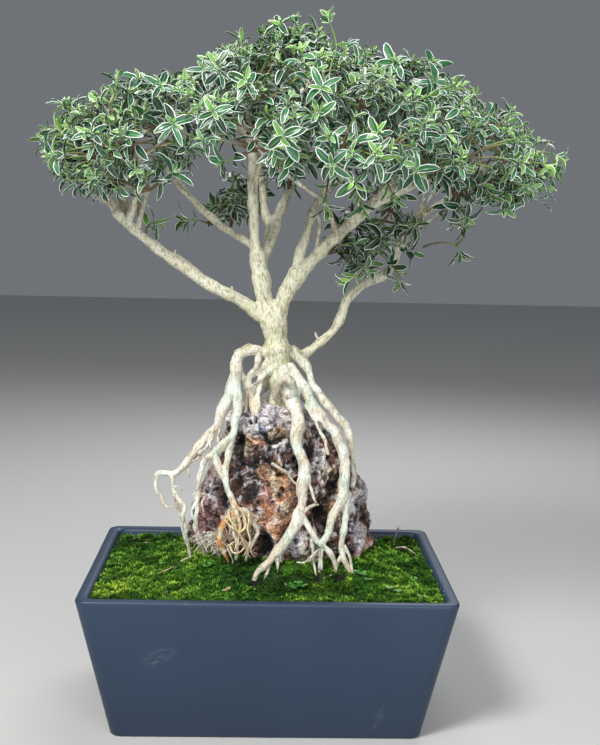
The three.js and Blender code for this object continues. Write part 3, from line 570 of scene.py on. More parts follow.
LIMBS = {
    "low left": [(-1,0,306,7), (-14,-2,315,5.3), (-29,-5,325,4.8), (-49,-8,335,4.7), (-68,-10,348,4.5),
        (-87,-12,361,4.1), (-102,-14,372,3.8), (-112,-15,381,4.1), (-120,-15,389,3.4)],
    "left rise": [(-120,-15,388,3.2), (-127,-12,404,2.7), (-132,-6,424,2.3), (-134,0,446,1.8)],
    "left front": [(-111,-15,380,3), (-105,-26,395,2.6), (-100,-40,411,2.2), (-98,-52,428,1.7)],
    "left back": [(-114,-15,383,3), (-119,8,396,2.6), (-124,36,412,2.2), (-128,58,432,1.7)],
    "middle": [(0,0,306,8), (-6,-1,323,6.3), (-9,-1,335,6.1), (-11,0,348,6.5), (-13,0,360,5.6)],
    "middle rise": [(-13,0,356,5.2), (-15,-3,373,4), (-16,-6,392,3.9), (-17,-8,411,3.9), (-17,-10,430,3.8),
        (-20,-10,448,3.4), (-23,-10,463,3.2), (-27,-9,475,2.8), (-31,-8,487,2.2)],
    "middle side": [(-19,-10,444,2.6), (-4,-18,458,2.2), (12,-26,472,2), (24,-30,486,1.6)],
    "middle front": [(-17,-7,405,2.6), (-14,-28,418,2.2), (-10,-50,430,1.9), (-4,-70,444,1.6)],
    "middle back": [(-12,0,352,5), (-4,14,367,4.8), (-1,24,378,5.2), (4,36,390,4), (10,50,405,3.2),
        (18,66,428,2.6), (24,82,454,2.1), (26,92,480,1.7)],
    "back left": [(-1,24,377,3.6), (-8,34,392,3.2), (-10,44,408,2.9), (-12,54,430,2.4), (-14,62,455,2)],
    "left far": [(-12,1,361,4.4), (-23,10,369,3.2), (-35,22,375,3.1), (-50,36,385,3), (-64,48,397,2.8),
        (-77,60,410,2.5), (-88,70,423,2.1)],
    "right": [(2,0,306,8), (8,-2,325,6.2), (14,-4,336,6), (20,-6,347,6.4)],
    "right long": [(19,-5,344,6), (31,-9,357,5.1), (42,-13,369,4.9), (56,-17,383,4.9), (68,-21,395,4.8),
        (82,-25,404,4.9), (94,-28,410,4.4), (107,-30,416,3.2), (128,-31,421,2.6), (152,-28,426,2.2),
        (176,-20,430,1.7)],
    "right front": [(68,-21,394,3), (78,-38,408,2.5), (86,-58,422,2.1), (90,-76,438,1.7)],
    "right rise": [(95,-28,409,3), (110,-20,430,2.5), (124,-12,452,2.1), (132,-6,472,1.7)],
    "right inner": [(18,-5,343,5), (20,-2,359,4.1), (24,1,372,4.1), (28,4,386,4.4), (33,7,397,4.2),
        (39,10,407,3.7), (46,13,424,2.8), (52,12,446,2.2), (56,8,472,1.7)],
    "right back": [(38,10,405,3.2), (52,34,420,2.7), (68,62,440,2.3), (84,88,462,1.8)],
    "low right": [(14,6,283,5.4), (22,14,278,4.7), (30,18,282,3.9), (40,20,290,3.7), (49,22,299,3.6),
        (55,24,310,3.5), (59,26,322,3.9), (68,28,331,3.8), (79,31,338,3.5), (91,34,344,3.8), (98,38,356,4),
        (103,42,371,3.4), (112,46,383,2.8), (127,52,395,2.3), (146,60,409,1.8), (164,68,424,1.5)],
}

print("limbs", len(LIMBS))

# %% Roots, over the rock and down into the soil
ROOTS = {
    "left main": [(0,0,281,6), (-10,-6,284,4), (-18,-11,285,3.8), (-24,-15,282,4.1), (-27,-18,275,4.8),
        (-27,-20,266,4.6), (-26,-22,256,3.9), (-26,-26,245,3.6), (-28,-32,232,3.3), (-30,-38,219,2.9),
        (-32,-42,207,2.6), (-33,-44,195,2.5), (-32,-46,184,2.5), (-28,-48,174,2.5), (-25,-49,167,2.5)],
    "left outer": [(-27,-18,271,4.2), (-30,-20,261,3.9), (-33,-22,252,3.8), (-37,-24,242,3.8),
        (-41,-26,230,3.3), (-50,-28,219,3.1), (-57,-29,210,3.3), (-63,-29,201,3.2), (-69,-29,194,2.8),
        (-76,-29,189,2.2)],
    "hook": [(-74,-29,190,2), (-82,-29,191,1.8), (-86,-29,189,1.7), (-87,-30,184,1.6), (-85,-31,176,1.6),
        (-83,-32,169,1.5), (-77,-32,164,1.4)],
    "hook drop": [(-75,-29,190,2), (-74,-30,178,1.8), (-70,-31,171,1.8), (-65,-32,165,1.8),
        (-66,-33,158,1.7), (-65,-32,149,1.6), (-64,-29,139,1.5), (-62,-26,128,1.5), (-61,-25,108,1.4)],
    "left cross": [(-31,-39,221,2.5), (-36,-41,216,3.1), (-42,-40,210,3.6), (-41,-42,203,2.9),
        (-38,-45,196,2.1), (-35,-47,189,1.6), (-29,-48,180,1.4)],
    "left drop": [(-41,-40,210,2), (-49,-38,205,2.4), (-52,-38,196,2.1), (-54,-38,186,1.9),
        (-54,-39,175,1.9), (-55,-40,163,1.9), (-57,-38,151,1.8), (-54,-35,140,1.6), (-50,-31,129,1.5),
        (-49,-28,107,1.4)],
    "inner left": [(-2,-4,275,3.9), (-12,-9,270,3.3), (-17,-12,264,2.5), (-16,-14,256,2.2),
        (-15,-16,248,2.1), (-14,-17,239,2)],
    "inner right": [(1,-6,270,3.1), (-7,-12,264,2.3), (-9,-15,257,2.1), (-10,-17,250,2), (-11,-18,239,1.9)],
    "inner far": [(-25,-17,269,2.5), (-20,-14,261,2.1), (-20,-12,253,2), (-20,-12,238,1.9)],
    "front": [(8,-5,272,5.5), (11,-12,260,6.8), (15,-19,250,6.8), (19,-28,241,5.7), (21,-34,229,5.1),
        (19,-38,220,4.2), (22,-40,210,4.3), (26,-42,200,4.7), (26,-45,189,4.5), (24,-48,179,3.9),
        (22,-50,168,3.5), (20,-52,159,3.5), (16,-54,151,3.6), (11,-56,143,3.6), (5,-58,137,3.5),
        (-1,-60,130,3), (-8,-62,125,2.2), (-14,-63,110,1.2)],
    "front right": [(22,-50,169,2.6), (28,-51,159,2.4), (34,-53,151,2.3), (40,-54,144,2.1), (46,-54,137,2),
        (50,-52,127,1.8), (52,-50,107,1.4)],
    "front thin": [(39,-54,146,1.5), (39,-54,136,1.3), (38,-52,108,1.2)],
    "right main": [(13,-3,272,4.7), (22,-10,262,4), (27,-16,255,3.9), (32,-22,246,3.9), (38,-27,239,3.8),
        (44,-29,230,3.8), (50,-31,221,4), (55,-33,211,4.2), (57,-34,200,4.1), (57,-36,190,3.9),
        (56,-39,179,3.8), (52,-43,170,3.4), (47,-47,161,3.4), (45,-50,153,3.1), (40,-53,144,2.2)],
    "right drop": [(58,-37,183,2.8), (59,-40,173,2.7), (58,-42,162,2.7), (57,-44,153,2.7),
        (56,-46,143,2.2), (57,-48,133,2.1), (60,-50,124,1.9), (62,-51,107,1.4)],
    "right inner": [(57,-47,137,1.8), (53,-49,128,1.6), (54,-50,107,1.3)],
    "right outer": [(12,3,283,4.6), (21,3,277,3.8), (28,1,270,3.6), (32,-2,260,3.4), (36,-5,251,3.1),
        (42,-8,243,3.3), (50,-10,235,3.3), (58,-12,228,3.5), (62,-13,219,3.9), (63,-14,211,2.3),
        (64,-17,204,1.4), (64,-21,197,2.1), (65,-26,190,1.9), (63,-33,183,1.7)],
    "right thin": [(27,-20,245,1.9), (33,-31,237,1.7), (37,-34,228,1.6), (41,-38,219,1.7), (44,-40,210,1.3)],
    "strand outer": [(-25,-49,172,2.4), (-34,-50,158,2.1), (-36,-47,143,1.9), (-32,-43,130,1.6),
        (-31,-41,107,1.3)],
    "strand left": [(-25,-49,170,2), (-27,-53,155,1.5), (-23,-50,140,1.4), (-25,-45,127,1.3),
        (-25,-44,107,1.2)],
    "strand right": [(-25,-49,170,2.1), (-16,-50,162,1.8), (-10,-51,152,1.6), (-15,-49,138,1.4),
        (-18,-46,126,1.3), (-18,-45,107,1.2)],
    "back left": [(2,3,266,5.5), (-10,20,250,4.4), (-20,34,234,4), (-28,43,214,3.6), (-34,49,190,3.2),
        (-38,54,165,2.8), (-40,58,138,2.3), (-42,62,106,1.6)],
    "back right": [(12,3,266,5.5), (24,18,250,4.4), (34,32,234,4), (42,42,214,3.6), (50,48,190,3.1),
        (55,53,165,2.7), (58,57,138,2.2), (62,61,106,1.6)],
    "back middle": [(7,4,262,5), (6,22,250,4.2), (5,36,236,3.8), (6,46,214,3.4), (8,52,188,3),
        (6,57,160,2.6), (3,61,132,2.1), (2,64,106,1.6)],
}

print("strong roots", len(ROOTS))

# %% Smooth curves through a route
CURVE_STEPS = 16


def curve_points(route, at):
    """Centripetal Catmull-Rom curve at places 0 to 1: between two points it is a cubic whose
    end slopes come from the neighbours, each gap weighted by the root of its length."""
    knots = np.asarray(route, float)
    ends = np.vstack([2 * knots[0] - knots[1], knots, 2 * knots[-1] - knots[-2]])
    gap = np.sqrt(np.linalg.norm(np.diff(ends[:, :3], axis=0), axis=1))[:, None]
    spot = np.clip(np.asarray(at) * (len(knots) - 1), 0, len(knots) - 1)
    piece = np.minimum(spot.astype(int), len(knots) - 2)
    t = (spot - piece)[:, None]
    a, b, c, d = (ends[piece + k] for k in range(4))
    g, h, k = (gap[piece + k] for k in range(3))
    leave = ((b - a) / g - (c - a) / (g + h) + (c - b) / h) * h
    arrive = ((c - b) / h - (d - b) / (h + k) + (d - c) / k) * h
    return (b * (2 * t ** 3 - 3 * t ** 2 + 1) + leave * (t ** 3 - 2 * t ** 2 + t)
            + c * (3 * t ** 2 - 2 * t ** 3) + arrive * (t ** 3 - t ** 2))


def even_points(route, step):
    """Points and radii about every step millimetres along the curve, and how far along each is."""
    fine = curve_points(route, np.linspace(0, 1, CURVE_STEPS * len(route) + 1))
    length = np.concatenate([[0], np.cumsum(np.linalg.norm(np.diff(fine[:, :3], axis=0), axis=1))])
    along = np.linspace(0, length[-1], max(3, int(round(length[-1] / step)) + 1))
    return np.stack([np.interp(along, length, fine[:, k]) for k in range(4)], axis=-1), along


print("trunk length", round(even_points(TRUNK, 1.0)[1][-1]), "mm")

# %% A tube along a route
NODE_GAP, NODE_WIDTH = 15, 1.5


def frames_along(centres):
    """Two directions square to a path and to each other, carried along it without twisting."""
    tangent = unit(np.gradient(centres, axis=0))
    side = unit(np.cross(tangent[0], [0.31, 0.87, 0.38]))
    sides = []
    for way in tangent:
        side = unit(side - way * np.dot(side, way))
        sides.append(side)
    sides = np.array(sides)
    return sides, np.cross(tangent, sides)


def tube(rows, sides, seed=0, uneven=0.0, along=None, nodes=0.0):
    """A closed tube: a ring of points round each row's centre. Its radius swells and thins by
    noise, and by a low ring-shaped node about every 15 mm where old leaves once sat."""
    centre, radius = rows[:, :3], rows[:, 3]
    side, other = frames_along(centre)
    turn = np.arange(sides) / sides * 2 * np.pi
    spoke = np.cos(turn)[:, None] * side[:, None] + np.sin(turn)[:, None] * other[:, None]
    reach = radius[:, None] * np.ones(sides)
    if uneven:
        wall = centre[:, None] + spoke * reach[..., None]
        reach = reach * (1 + uneven * rough(wall, 2.6 * radius.mean() + 3, 2, seed))
    if nodes:
        beat = np.abs((along / NODE_GAP + 0.3 * np.sin(along / 23 + seed)) % 1 - 0.5) * NODE_GAP
        reach = reach * (1 + nodes * np.exp(-(beat / NODE_WIDTH) ** 2))[:, None]
    wall = centre[:, None] + spoke * reach[..., None]
    first, last = len(rows) * sides, len(rows) * sides + 1
    points = np.concatenate([wall.reshape(-1, 3), centre[:1], centre[-1:]])
    ring = np.arange(sides)
    quads = grid_faces(len(rows), sides, wrap=True)
    fans = np.concatenate([cap_faces(ring, first, flip=True),
                           cap_faces(ring + (len(rows) - 1) * sides, last)])
    return points, quads, fans


def gathered(tubes):
    """Joins several tubes into one array of points and a list of two arrays of faces."""
    points, quads, fans, count = [], [], [], 0
    for some_points, some_quads, some_fans in tubes:
        points.append(some_points)
        quads.append(some_quads + count)
        fans.append(some_fans + count)
        count += len(some_points)
    return np.concatenate(points), [np.concatenate(quads), np.concatenate(fans)]

# %% Places of the sprays, and a twig to each
SPRAYS = [
    (-168,4,448), (-140,-25,462), (-126,14,478), (-101,-12,480), (-78,20,486), (-141,-45,431),
    (-115,-68,438), (-90,-60,451), (-137,-15,412), (-106,-52,406), (-162,50,430), (-126,64,462),
    (-88,78,470), (-56,-5,495), (-12,12,517), (12,0,530), (-40,-75,467), (-11,-80,480), (-24,-88,440),
    (8,-104,457), (-50,52,490), (-18,92,490), (18,58,517), (40,-20,512), (67,20,515), (95,-5,504),
    (122,-20,494), (153,5,482), (179,0,460), (208,-5,430), (36,-98,476), (62,-104,470), (90,-94,468),
    (117,-84,454), (147,-70,436), (178,-36,416), (46,-112,440), (78,-112,436), (110,-80,421),
    (148,-26,406), (44,106,494), (68,62,510), (94,104,482), (116,54,496), (140,90,466), (-52,64,396),
    (184,58,452), (210,36,426), (56,8,352), (83,16,364), (107,46,392), (147,36,392),
]
CROWN_MIDDLE = np.array([22.0, 0.0, 395.0])
SPRAY_REACH = 16  # how far inside its spray's middle a twig ends
TWIG_TIP = 1.25
TWIG_SAG = 0.07


def twig_route(place):
    """A twig from the limb point that costs least, with a sag in its middle. The cost is the
    distance, and more where the point isn't well below the place, because twigs grow upwards."""
    place = np.array(place, float)
    inward = CROWN_MIDDLE - place
    place = place + inward * (SPRAY_REACH / np.linalg.norm(inward))
    best_cost, base, thick = 1e9, None, 0
    for route in LIMBS.values():
        steps = np.arange(4, 4 * len(route) + 1)
        points = curve_points(route, steps / (4 * len(route)))[:, :3]
        away = np.linalg.norm(points - place, axis=1)
        cost = away + 1.6 * np.maximum(0, points[:, 2] - place[2] + 0.45 * away)
        least = int(np.argmin(cost))
        if cost[least] < best_cost:
            best_cost, base = cost[least], points[least]
            thick = route[min(len(route) - 1, (steps[least] + 2) // 4)][3]
    away = np.linalg.norm(place - base)
    thick = min(thick * 0.8, 1.2 + 0.018 * away)
    middle = (base + place) / 2 - UP * TWIG_SAG * away
    return [(*base, thick), (*middle, (thick + TWIG_TIP) / 2), (*place, TWIG_TIP)]


twigs = [twig_route(place) for place in SPRAYS]
twig_spans = [np.linalg.norm(np.subtract(twig[0], twig[-1])[:3]) for twig in twigs]
print("twigs", len(twigs), "longest", round(max(twig_spans)), "mm")

# %% Bare twigs that show between the leaves, as x, y, z and radius
BARE_TWIGS = [
    [(-120,-15,392,2.5), (-128,-30,412,2.1), (-126,-40,431,1.9), (-124,-42,453,1.6), (-117,-36,476,1.1)],
    [(-111,-6,388,2.2), (-114,-20,404,1.7), (-120,-34,420,1.2)],
    [(-104,-14,375,2.2), (-94,-20,408,1.6), (-84,-26,420,1.1)],
    [(-103,-8,375,2), (-106,14,405,1.4), (-111,20,420,1)],
    [(-121,-14,391,2.2), (-137,-14,404,1.6), (-141,-16,412,1.1)],
    [(-126,-38,428,1.5), (-141,-16,433,1.2), (-154,-20,441,1.1), (-162,-14,449,0.8)],
    [(-22,-12,458,2.4), (-26,-34,470,1.9), (-32,-38,490,1.3)],
    [(-18,-10,438,2.3), (-14,-40,454,1.9), (-2,-50,467,1.5), (16,-56,477,1.1)],
    [(46,-16,378,2), (36,-50,398,1.6), (19,-70,410,1.5), (1,-78,422,1.3), (-11,-80,433,1.2),
     (-28,-70,451,1)],
    [(31,-9,360,1.5), (34,-14,380,1.3), (31,-20,402,1)],
    [(104,40,364,1.7), (112,30,388,1.2), (118,20,404,0.9)],
    [(112,46,382,1.6), (119,38,396,1.2), (118,30,410,0.8)],
    [(122,50,390,1.5), (124,44,402,1.1), (130,38,412,0.8)],
    # stubs of pruned shoots
    [(-75,-11,353,1.2), (-75.5,-12,358,0.9), (-75,-12,361,0.7)],
    [(-31,-6,327,1.1), (-31.5,-7,331,0.8), (-32,-7,334,0.6)],
    [(38,19,289,1.4), (35,18,294,1), (34,18,297,0.7)],
]
print("bare twigs", len(BARE_TWIGS))

# %% Gnarls, and tubes along many routes
def gnarled(rows, along, amount, seed):
    """Moves a path sideways by noise along its length, most between its ends: the shift is
    amount times the noise times the root of sin(pi u), so both ends stay where they were."""
    spot = np.stack([along, along * 0 + seed * 31.7, along * 0], axis=-1)
    hold = np.sqrt(np.sin(np.pi * np.clip(along / along[-1], 0, 1)))[:, None]
    shift = np.stack([noise(spot, 11, seed + k) + 0.5 * noise(spot, 5, seed + k + 5)
                      for k in range(3)], axis=-1)
    moved = rows.copy()
    moved[:, :3] += shift * amount * hold
    moved[:, 3] *= 1 + 0.22 * noise(spot + 7, 8, seed + 9)
    return moved


def tubes_along(routes, step, sides, seed, gnarl=0.0, uneven=0.0, nodes=0.0):
    """Tubes along some routes, gathered. Each route gets the next seed."""
    made = []
    for number, route in enumerate(routes):
        rows, along = even_points(route, step)
        if gnarl:
            rows = gnarled(rows, along, gnarl, seed + number)
        made.append(tube(rows, sides, seed + number, uneven, along, nodes))
    return gathered(made)

# %% Join the stems by a voxel remesh
stems = {"trunk": TRUNK, **LIMBS}
for name in ("inner left", "inner right", "inner far"):
    # these three end at the rock's crest, so each gets one more point inside it
    x, y, z, radius = ROOTS[name][-1]
    ROOTS[name].append((x, y + 4, z - 7, 0.8 * radius))


def joined_stems(name, routes, voxel, **shape):
    """Tubes along all routes, remeshed into one skin and smoothed, as points, faces and normals."""
    points, faces = tubes_along(routes.values(), step=1.6, sides=20, **shape)
    piece = add_mesh(name, points, faces, [])
    remesh = piece.modifiers.new("joined", "REMESH")
    remesh.mode = "VOXEL"
    remesh.voxel_size = voxel * MM
    smooth = piece.modifiers.new("softened", "SMOOTH")
    smooth.factor = 0.5
    smooth.iterations = 3
    solved = bpy.data.meshes.new_from_object(
        piece.evaluated_get(bpy.context.evaluated_depsgraph_get()))
    skin = values_of(solved.vertices, "co", len(solved.vertices) * 3, np.float32)
    corners = values_of(solved.loops, "vertex_index", len(solved.loops), np.int32)
    normals = values_of(solved.vertices, "normal", len(solved.vertices) * 3, np.float32)
    bpy.data.objects.remove(piece)
    return skin.reshape(-1, 3) / MM, corners.reshape(-1, 4), normals.reshape(-1, 3)


limb_points, limb_faces, limb_normals = joined_stems(
    "limbs", stems, voxel=1.0, seed=3, gnarl=0.5, uneven=0.12, nodes=0.09)
root_points, root_faces, root_normals = joined_stems(
    "roots", ROOTS, voxel=0.95, seed=60, gnarl=1.3, uneven=0.24)
print("faces of the limbs", len(limb_faces), "and of the roots", len(root_faces))

# %% Bark relief along the grain
BLOCK = 4000  # points whose distances are worked out at once
NEXT_STEM = 1000  # moves the grain of each stem away from the last one's


def grain_of(points, routes):
    """For each point the nearest stem centre, as (how far along the stem, its radius, and the
    offset from it), found with one table of squared distances for a block of points."""
    centres, lengths, radii = [], [], []
    for number, route in enumerate(routes.values()):
        rows, along = even_points(route, 1.0)
        centres.append(rows[:, :3])
        radii.append(rows[:, 3])
        lengths.append(along + NEXT_STEM * number)
    centres, lengths, radii = map(np.concatenate, (centres, lengths, radii))
    nearest = np.concatenate([
        np.argmin((centres ** 2).sum(1) - 2 * block @ centres.T, axis=1)
        for block in np.array_split(points, max(1, len(points) // BLOCK))
    ])
    return lengths[nearest], radii[nearest], points - centres[nearest]


def barked(points, normals, routes, depth, seed, lumpy):
    """Relief along the grain: narrow furrows that run with the stem, over broader lumps, both
    lower on thin stems. Returns the moved points, and the furrows as a value from -1 to 1."""
    along, radius, offset = grain_of(points, routes)
    grain = offset + np.stack([along * 0.13, along * 0.05, along * 0.09], axis=-1)
    furrows = 1 - 2 * np.abs(rough(grain, 2.1, 3, seed))
    lumps = rough(points, 7, 2, seed + 9)
    size = np.clip(radius / 7, 0.35, 1.3)
    moved = points + normals * ((furrows * 0.45 + lumps * lumpy) * depth * size)[:, None]
    return moved, furrows


limb_points, limb_furrows = barked(limb_points, limb_normals, stems, depth=0.55, seed=1, lumpy=0.9)
root_points, root_furrows = barked(root_points, root_normals, ROOTS, depth=0.75, seed=2, lumpy=1.9)
print("furrows from", round(limb_furrows.min(), 2), "to", round(limb_furrows.max(), 2))

# %% [markdown]
# Bark is pale and dry: cream where it is worn, greenish yellow where lichen sits on the
# old trunk, brown in small pores and in thin flaking lines, and darker in the furrows, partly
# their own brown and partly painted shade. Roots that have come to light are paler still,
# and one strand and a tangle are the colour of straw. One finish does all of it, from noise
# stretched up and down and from marks on the points that say how deep a furrow is, how much
# lichen there is, and what is root and what is straw.

# %% One finish for all wood
bark = Finish("pale bark", Roughness=0.8, Specular_IOR_Level=0.25)
furrow, lichen, root, straw = (bark.mark(name) for name in ("furrow", "lichen", "root", "straw"))
patches = bark.grain(16, 3)
flecks = bark.grain(1.7, 3, bark.place((1, 1, 0.28)))
pores = bark.cells(1.5, bark.place((1, 1, 0.5)))
stains = bark.grain(15, 2, bark.place((1, 1, 0.6)))
flakes = (bark.grain(4.2, 3, bark.place((1, 1, 0.45))) - 0.5).maths("ABSOLUTE")
stem_bark = bark.coats(
    bark.blend(patches.above(0.35, 0.3), paint("c4c1a6"), paint("e9e7d6")),
    (lichen * patches.above(0.42, 0.22), "bcbf94"))
root_bark = bark.coats(
    bark.blend(bark.grain(11, 2).above(0.4, 0.25), paint("cfc6b2"), paint("f2f0e6")),
    (bark.grain(22, 1).above(0.5, 0.12) * 0.6, "c6dccb"), (stains.above(0.58, 0.1) * 0.5, "d8c3a0"))
straw_bark = bark.blend(straw.above(0.5, 0.35), paint("ead3a8"), paint("d29458"))
root_bark = bark.blend(straw.above(0.1, 0.3), root_bark, straw_bark)
bark.feed(Base_Color=bark.coats(
    bark.blend(root, stem_bark, root_bark),
    # furrows darkened: partly the bark's own brown, partly painted shade in the grooves
    ((1 - furrow.above(-0.25, 0.8)) * 0.6, "6a5c45"),
    (flecks.above(0.54, 0.08) * (0.55 - 0.2 * root), "7d6c4c"),
    ((1 - pores.above(0.11, 0.12)) * (0.6 - 0.2 * root), "54432b"),
    ((1 - flakes.above(0.004, 0.02)) * (0.35 + 0.2 * root), "675a48")))
bark.bump(flecks + 0.6 * bark.grain(0.6, 3), 0.25, 0.7)
print("bark nodes", len(bark.tree.nodes))

# %% The wood's three pieces
def add_wood(name, points, faces, furrow, lichen, root, straw=0.0):
    """A piece of wood with its marks. A mark that is one number holds at all points."""
    marks = {"furrow": furrow, "lichen": lichen, "root": root, "straw": straw}
    return add_mesh(name, points, faces, [bark.material],
                    {mark: np.broadcast_to(value, len(points)) for mark, value in marks.items()})


trunk_near = np.exp(-((limb_points[:, 2] - 285) / 60) ** 2) * np.exp(-(limb_points[:, 0] / 40) ** 2)
limbs = add_wood("trunk_and_limbs", limb_points, [limb_faces], limb_furrows, 0.35 + 0.65 * trunk_near, 0.12)
STRAW_STRAND = np.array([[-27, -49, 168], [-34, -50, 158], [-36, -47, 143], [-32, -43, 130]])
from_strand = np.linalg.norm(root_points[:, None] - STRAW_STRAND, axis=-1).min(axis=1)
in_light = np.clip((285 - root_points[:, 2]) / 30, 0.15, 1)
roots = add_wood("roots", root_points, [root_faces], root_furrows, 0.0, in_light,
                 0.9 * np.exp(-(from_strand / 7) ** 4))
twig_points, twig_faces = tubes_along(
    twigs + BARE_TWIGS, step=2.6, sides=8, seed=200, uneven=0.1, nodes=0.12)
twig_piece = add_wood("twigs", twig_points, twig_faces, 0.2 + 0.5 * noise(twig_points, 3, 4), 0.0, 0.1)
for piece in (limbs, roots, twig_piece):
    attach(piece, "root")
    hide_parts("wood")
    print(piece.name, triangles_in(piece), "triangles")

# %% [markdown]
# ## The rock
#
# A weathered lump of porous stone: a crumbly lilac crust on top, a cleft under it, a
# rust-brown rib down the middle, hollows on both sides and a rounded pink lobe low on the
# right. Its base is a stack of sections, each with a middle and two half widths, and the
# crags are sines round it, as in the solid. Hollows and bulges are smooth bumps placed on
# the front, and on the other sides broad noise does the same work. Pits come from cell noise.
# The cleft and the hollows are dark stone with painted shade over it, the pits and crevices
# are painted near black as shade, and the crests carry a painted highlight.

# %% Sections and crags
# height, middle X, middle Y, half width, half depth
ROCK = np.array([
    (92,9,5,66,46), (118,13,5,71,49), (140,12,4,72,48), (160,10,3,68,46),
    (180,9,3,62,43), (200,9,4,52,40), (214,7,4,44,37), (226,2,3,38,33),
    (235,0,2,31,27), (240,0,1,20,18),
], float)


def rock_crag(angle, z):
    """Crags as a share of the half width: three waves round the rock that turn with height."""
    return (0.045 * np.sin(3 * angle + 0.035 * z + 0.6) + 0.05 * np.sin(8 * angle - 0.05 * z + 1.3)
            + 0.04 * np.sin(5 * angle + 0.16 * z) * np.sin(0.11 * z - 2 * angle))


def rock_point(angle, z, lift=0.0):
    """A point of the rock's skin at an angle and a height, lifted off it by some millimetres."""
    angle, z = np.broadcast_arrays(angle, np.asarray(z, float))
    middle_x, middle_y, half_x, half_y = (np.interp(z, ROCK[:, 0], ROCK[:, k]) for k in (1, 2, 3, 4))
    reach = 1 + rock_crag(angle, z)
    return np.stack([middle_x + np.cos(angle) * (half_x * reach + lift),
                     middle_y + np.sin(angle) * (half_y * reach + lift), z], axis=-1)


print("rock from", ROCK[0, 0], "to", ROCK[-1, 0], "mm high, in", len(ROCK), "sections")

# %% Hollows and bulges
# x, z, half width, half height, and how far it goes in (below 0) or stands out
FRONT_FORMS = [
    (5,221,13,3.6,-6), (-9,223,6,4.5,-5), (-25,210,4.5,11,-8), (-17,200,8,5,-4), (-37,175,4.5,12,-9),
    (-15,182,9,11,-3.5), (30,212,7,9,-5), (16,201,5,6,-3), (38,164,6.5,13,-9), (49,180,6,6.5,-7),
    (-3,141,7,11,-5), (44,140,6,10,-6), (30,223,5,3,1.8), (1,226,6,3.5,2.2), (-19,210,5,5.5,2.5),
    (45,192,8,9,2.4), (5,176,10,30,2.4), (11,158,8,12,2), (22,144,8,9,3), (27,136,4,7,3.5),
    (-45,165,8,20,2.2), (-42,186,4,5,2.5), (68,168,9,12,2.6), (72,138,10,15,3), (69,160,2.4,3,-5),
    (74,149,14,3,-5), (33,124,5,8,4), (60,150,3,12,-5), (88,150,12,18,-4.5), (88,112,10,9,-4),
]


def bump_at(x, z, spot):
    """A smooth bump: exp(-d^4), with d the distance from a spot over its half sizes."""
    return np.exp(-(((x - spot[0]) / spot[2]) ** 2 + ((z - spot[1]) / spot[3]) ** 2) ** 2)


def front_share(points):
    """1 on the front of the rock, falling to 0 on its sides and back."""
    return np.clip((20 - points[..., 1]) / 14, 0, 1)


print("hollows and bulges", len(FRONT_FORMS))

# %% Smooth skin of the rock
ROCK_ROUND, ROCK_ROWS, ROCK_CAP = 400, 190, 16
CAP_RISE = 5.0
angle = np.arange(ROCK_ROUND) / ROCK_ROUND * 2 * np.pi
height = np.linspace(ROCK[0, 0], ROCK[-1, 0], ROCK_ROWS)
side_skin = rock_point(angle[None, :], height[:, None])
cap_share = np.cos(np.linspace(0, np.pi / 2, ROCK_CAP + 1)[1:-1])[:, None, None]
cap_middle = side_skin[-1].mean(axis=0)
cap_skin = cap_middle + (side_skin[-1] - cap_middle) * cap_share
cap_skin[..., 2] += CAP_RISE * np.sqrt(1 - cap_share[..., 0] ** 2)
rock_skin = np.concatenate([side_skin, cap_skin])
rock_rows = len(rock_skin)


def grid_normals(skin):
    """Normals of a closed-round grid: the cross product of its steps round and up."""
    step_round = np.roll(skin, -1, axis=1) - np.roll(skin, 1, axis=1)
    return unit(np.cross(step_round, np.gradient(skin, axis=0)))


out = grid_normals(rock_skin)
print("rock grid", rock_rows, "rows of", ROCK_ROUND)

# %% Relief of the rock, in millimetres along its normals
WARP_SIZE, WARP = 11, 6.5  # patterns are read at points that noise has moved a little
PIT_SIZE, SMALL_PIT_SIZE, CRUMB_SIZE = 6.0, 2.7, 4.2
CRUST_FOOT = 219
warp = rock_skin + np.stack([rough(rock_skin, WARP_SIZE, 3, 60 + k) for k in range(3)], axis=-1) * WARP
x, z = warp[..., 0], warp[..., 2]
front = front_share(rock_skin)
forms = sum(form[4] * bump_at(x, z, form) for form in FRONT_FORMS)
elsewhere = -14 * np.clip(rough(rock_skin, 30, 2, 41) - 0.12, 0, 1)
broad = front * forms + (1 - front) * elsewhere
crust = np.clip((rock_skin[..., 2] - CRUST_FOOT) / 6, 0, 1)
ridges = 1 - 2 * np.abs(rough(warp * [1, 1, 0.7], 16, 5, 42, 0.6))
fine_ridges = 1 - 2 * np.abs(rough(rock_skin, 5.5, 3, 43))
pit_room = np.clip(rough(rock_skin, 16, 2, 44) * 2 + 0.6, 0, 1)
pits = np.clip(1 - nearest_cell(warp, PIT_SIZE, 45) / 0.42, 0, 1) ** 0.7 * pit_room
small_pits = np.clip(1 - nearest_cell(rock_skin, SMALL_PIT_SIZE, 46) / 0.42, 0, 1)
crumbs_up = np.sqrt(np.clip(0.6 - nearest_cell(rock_skin, CRUMB_SIZE, 47), 0, 1))
relief = (broad + (ridges - 0.75) * (4.2 - 2.8 * crust) + (fine_ridges - 0.6) * 1.4
          + (crumbs_up - 0.4) * 1.6 * (0.4 + 0.6 * crust) - 3.8 * pits - 1.3 * small_pits)
relief = np.minimum(relief, 2.0 + 0.15 * relief)
rock_skin = rock_skin + out * relief[..., None]
print("rock relief from", round(float(relief.min()), 1), "to", round(float(relief.max()), 1), "mm")

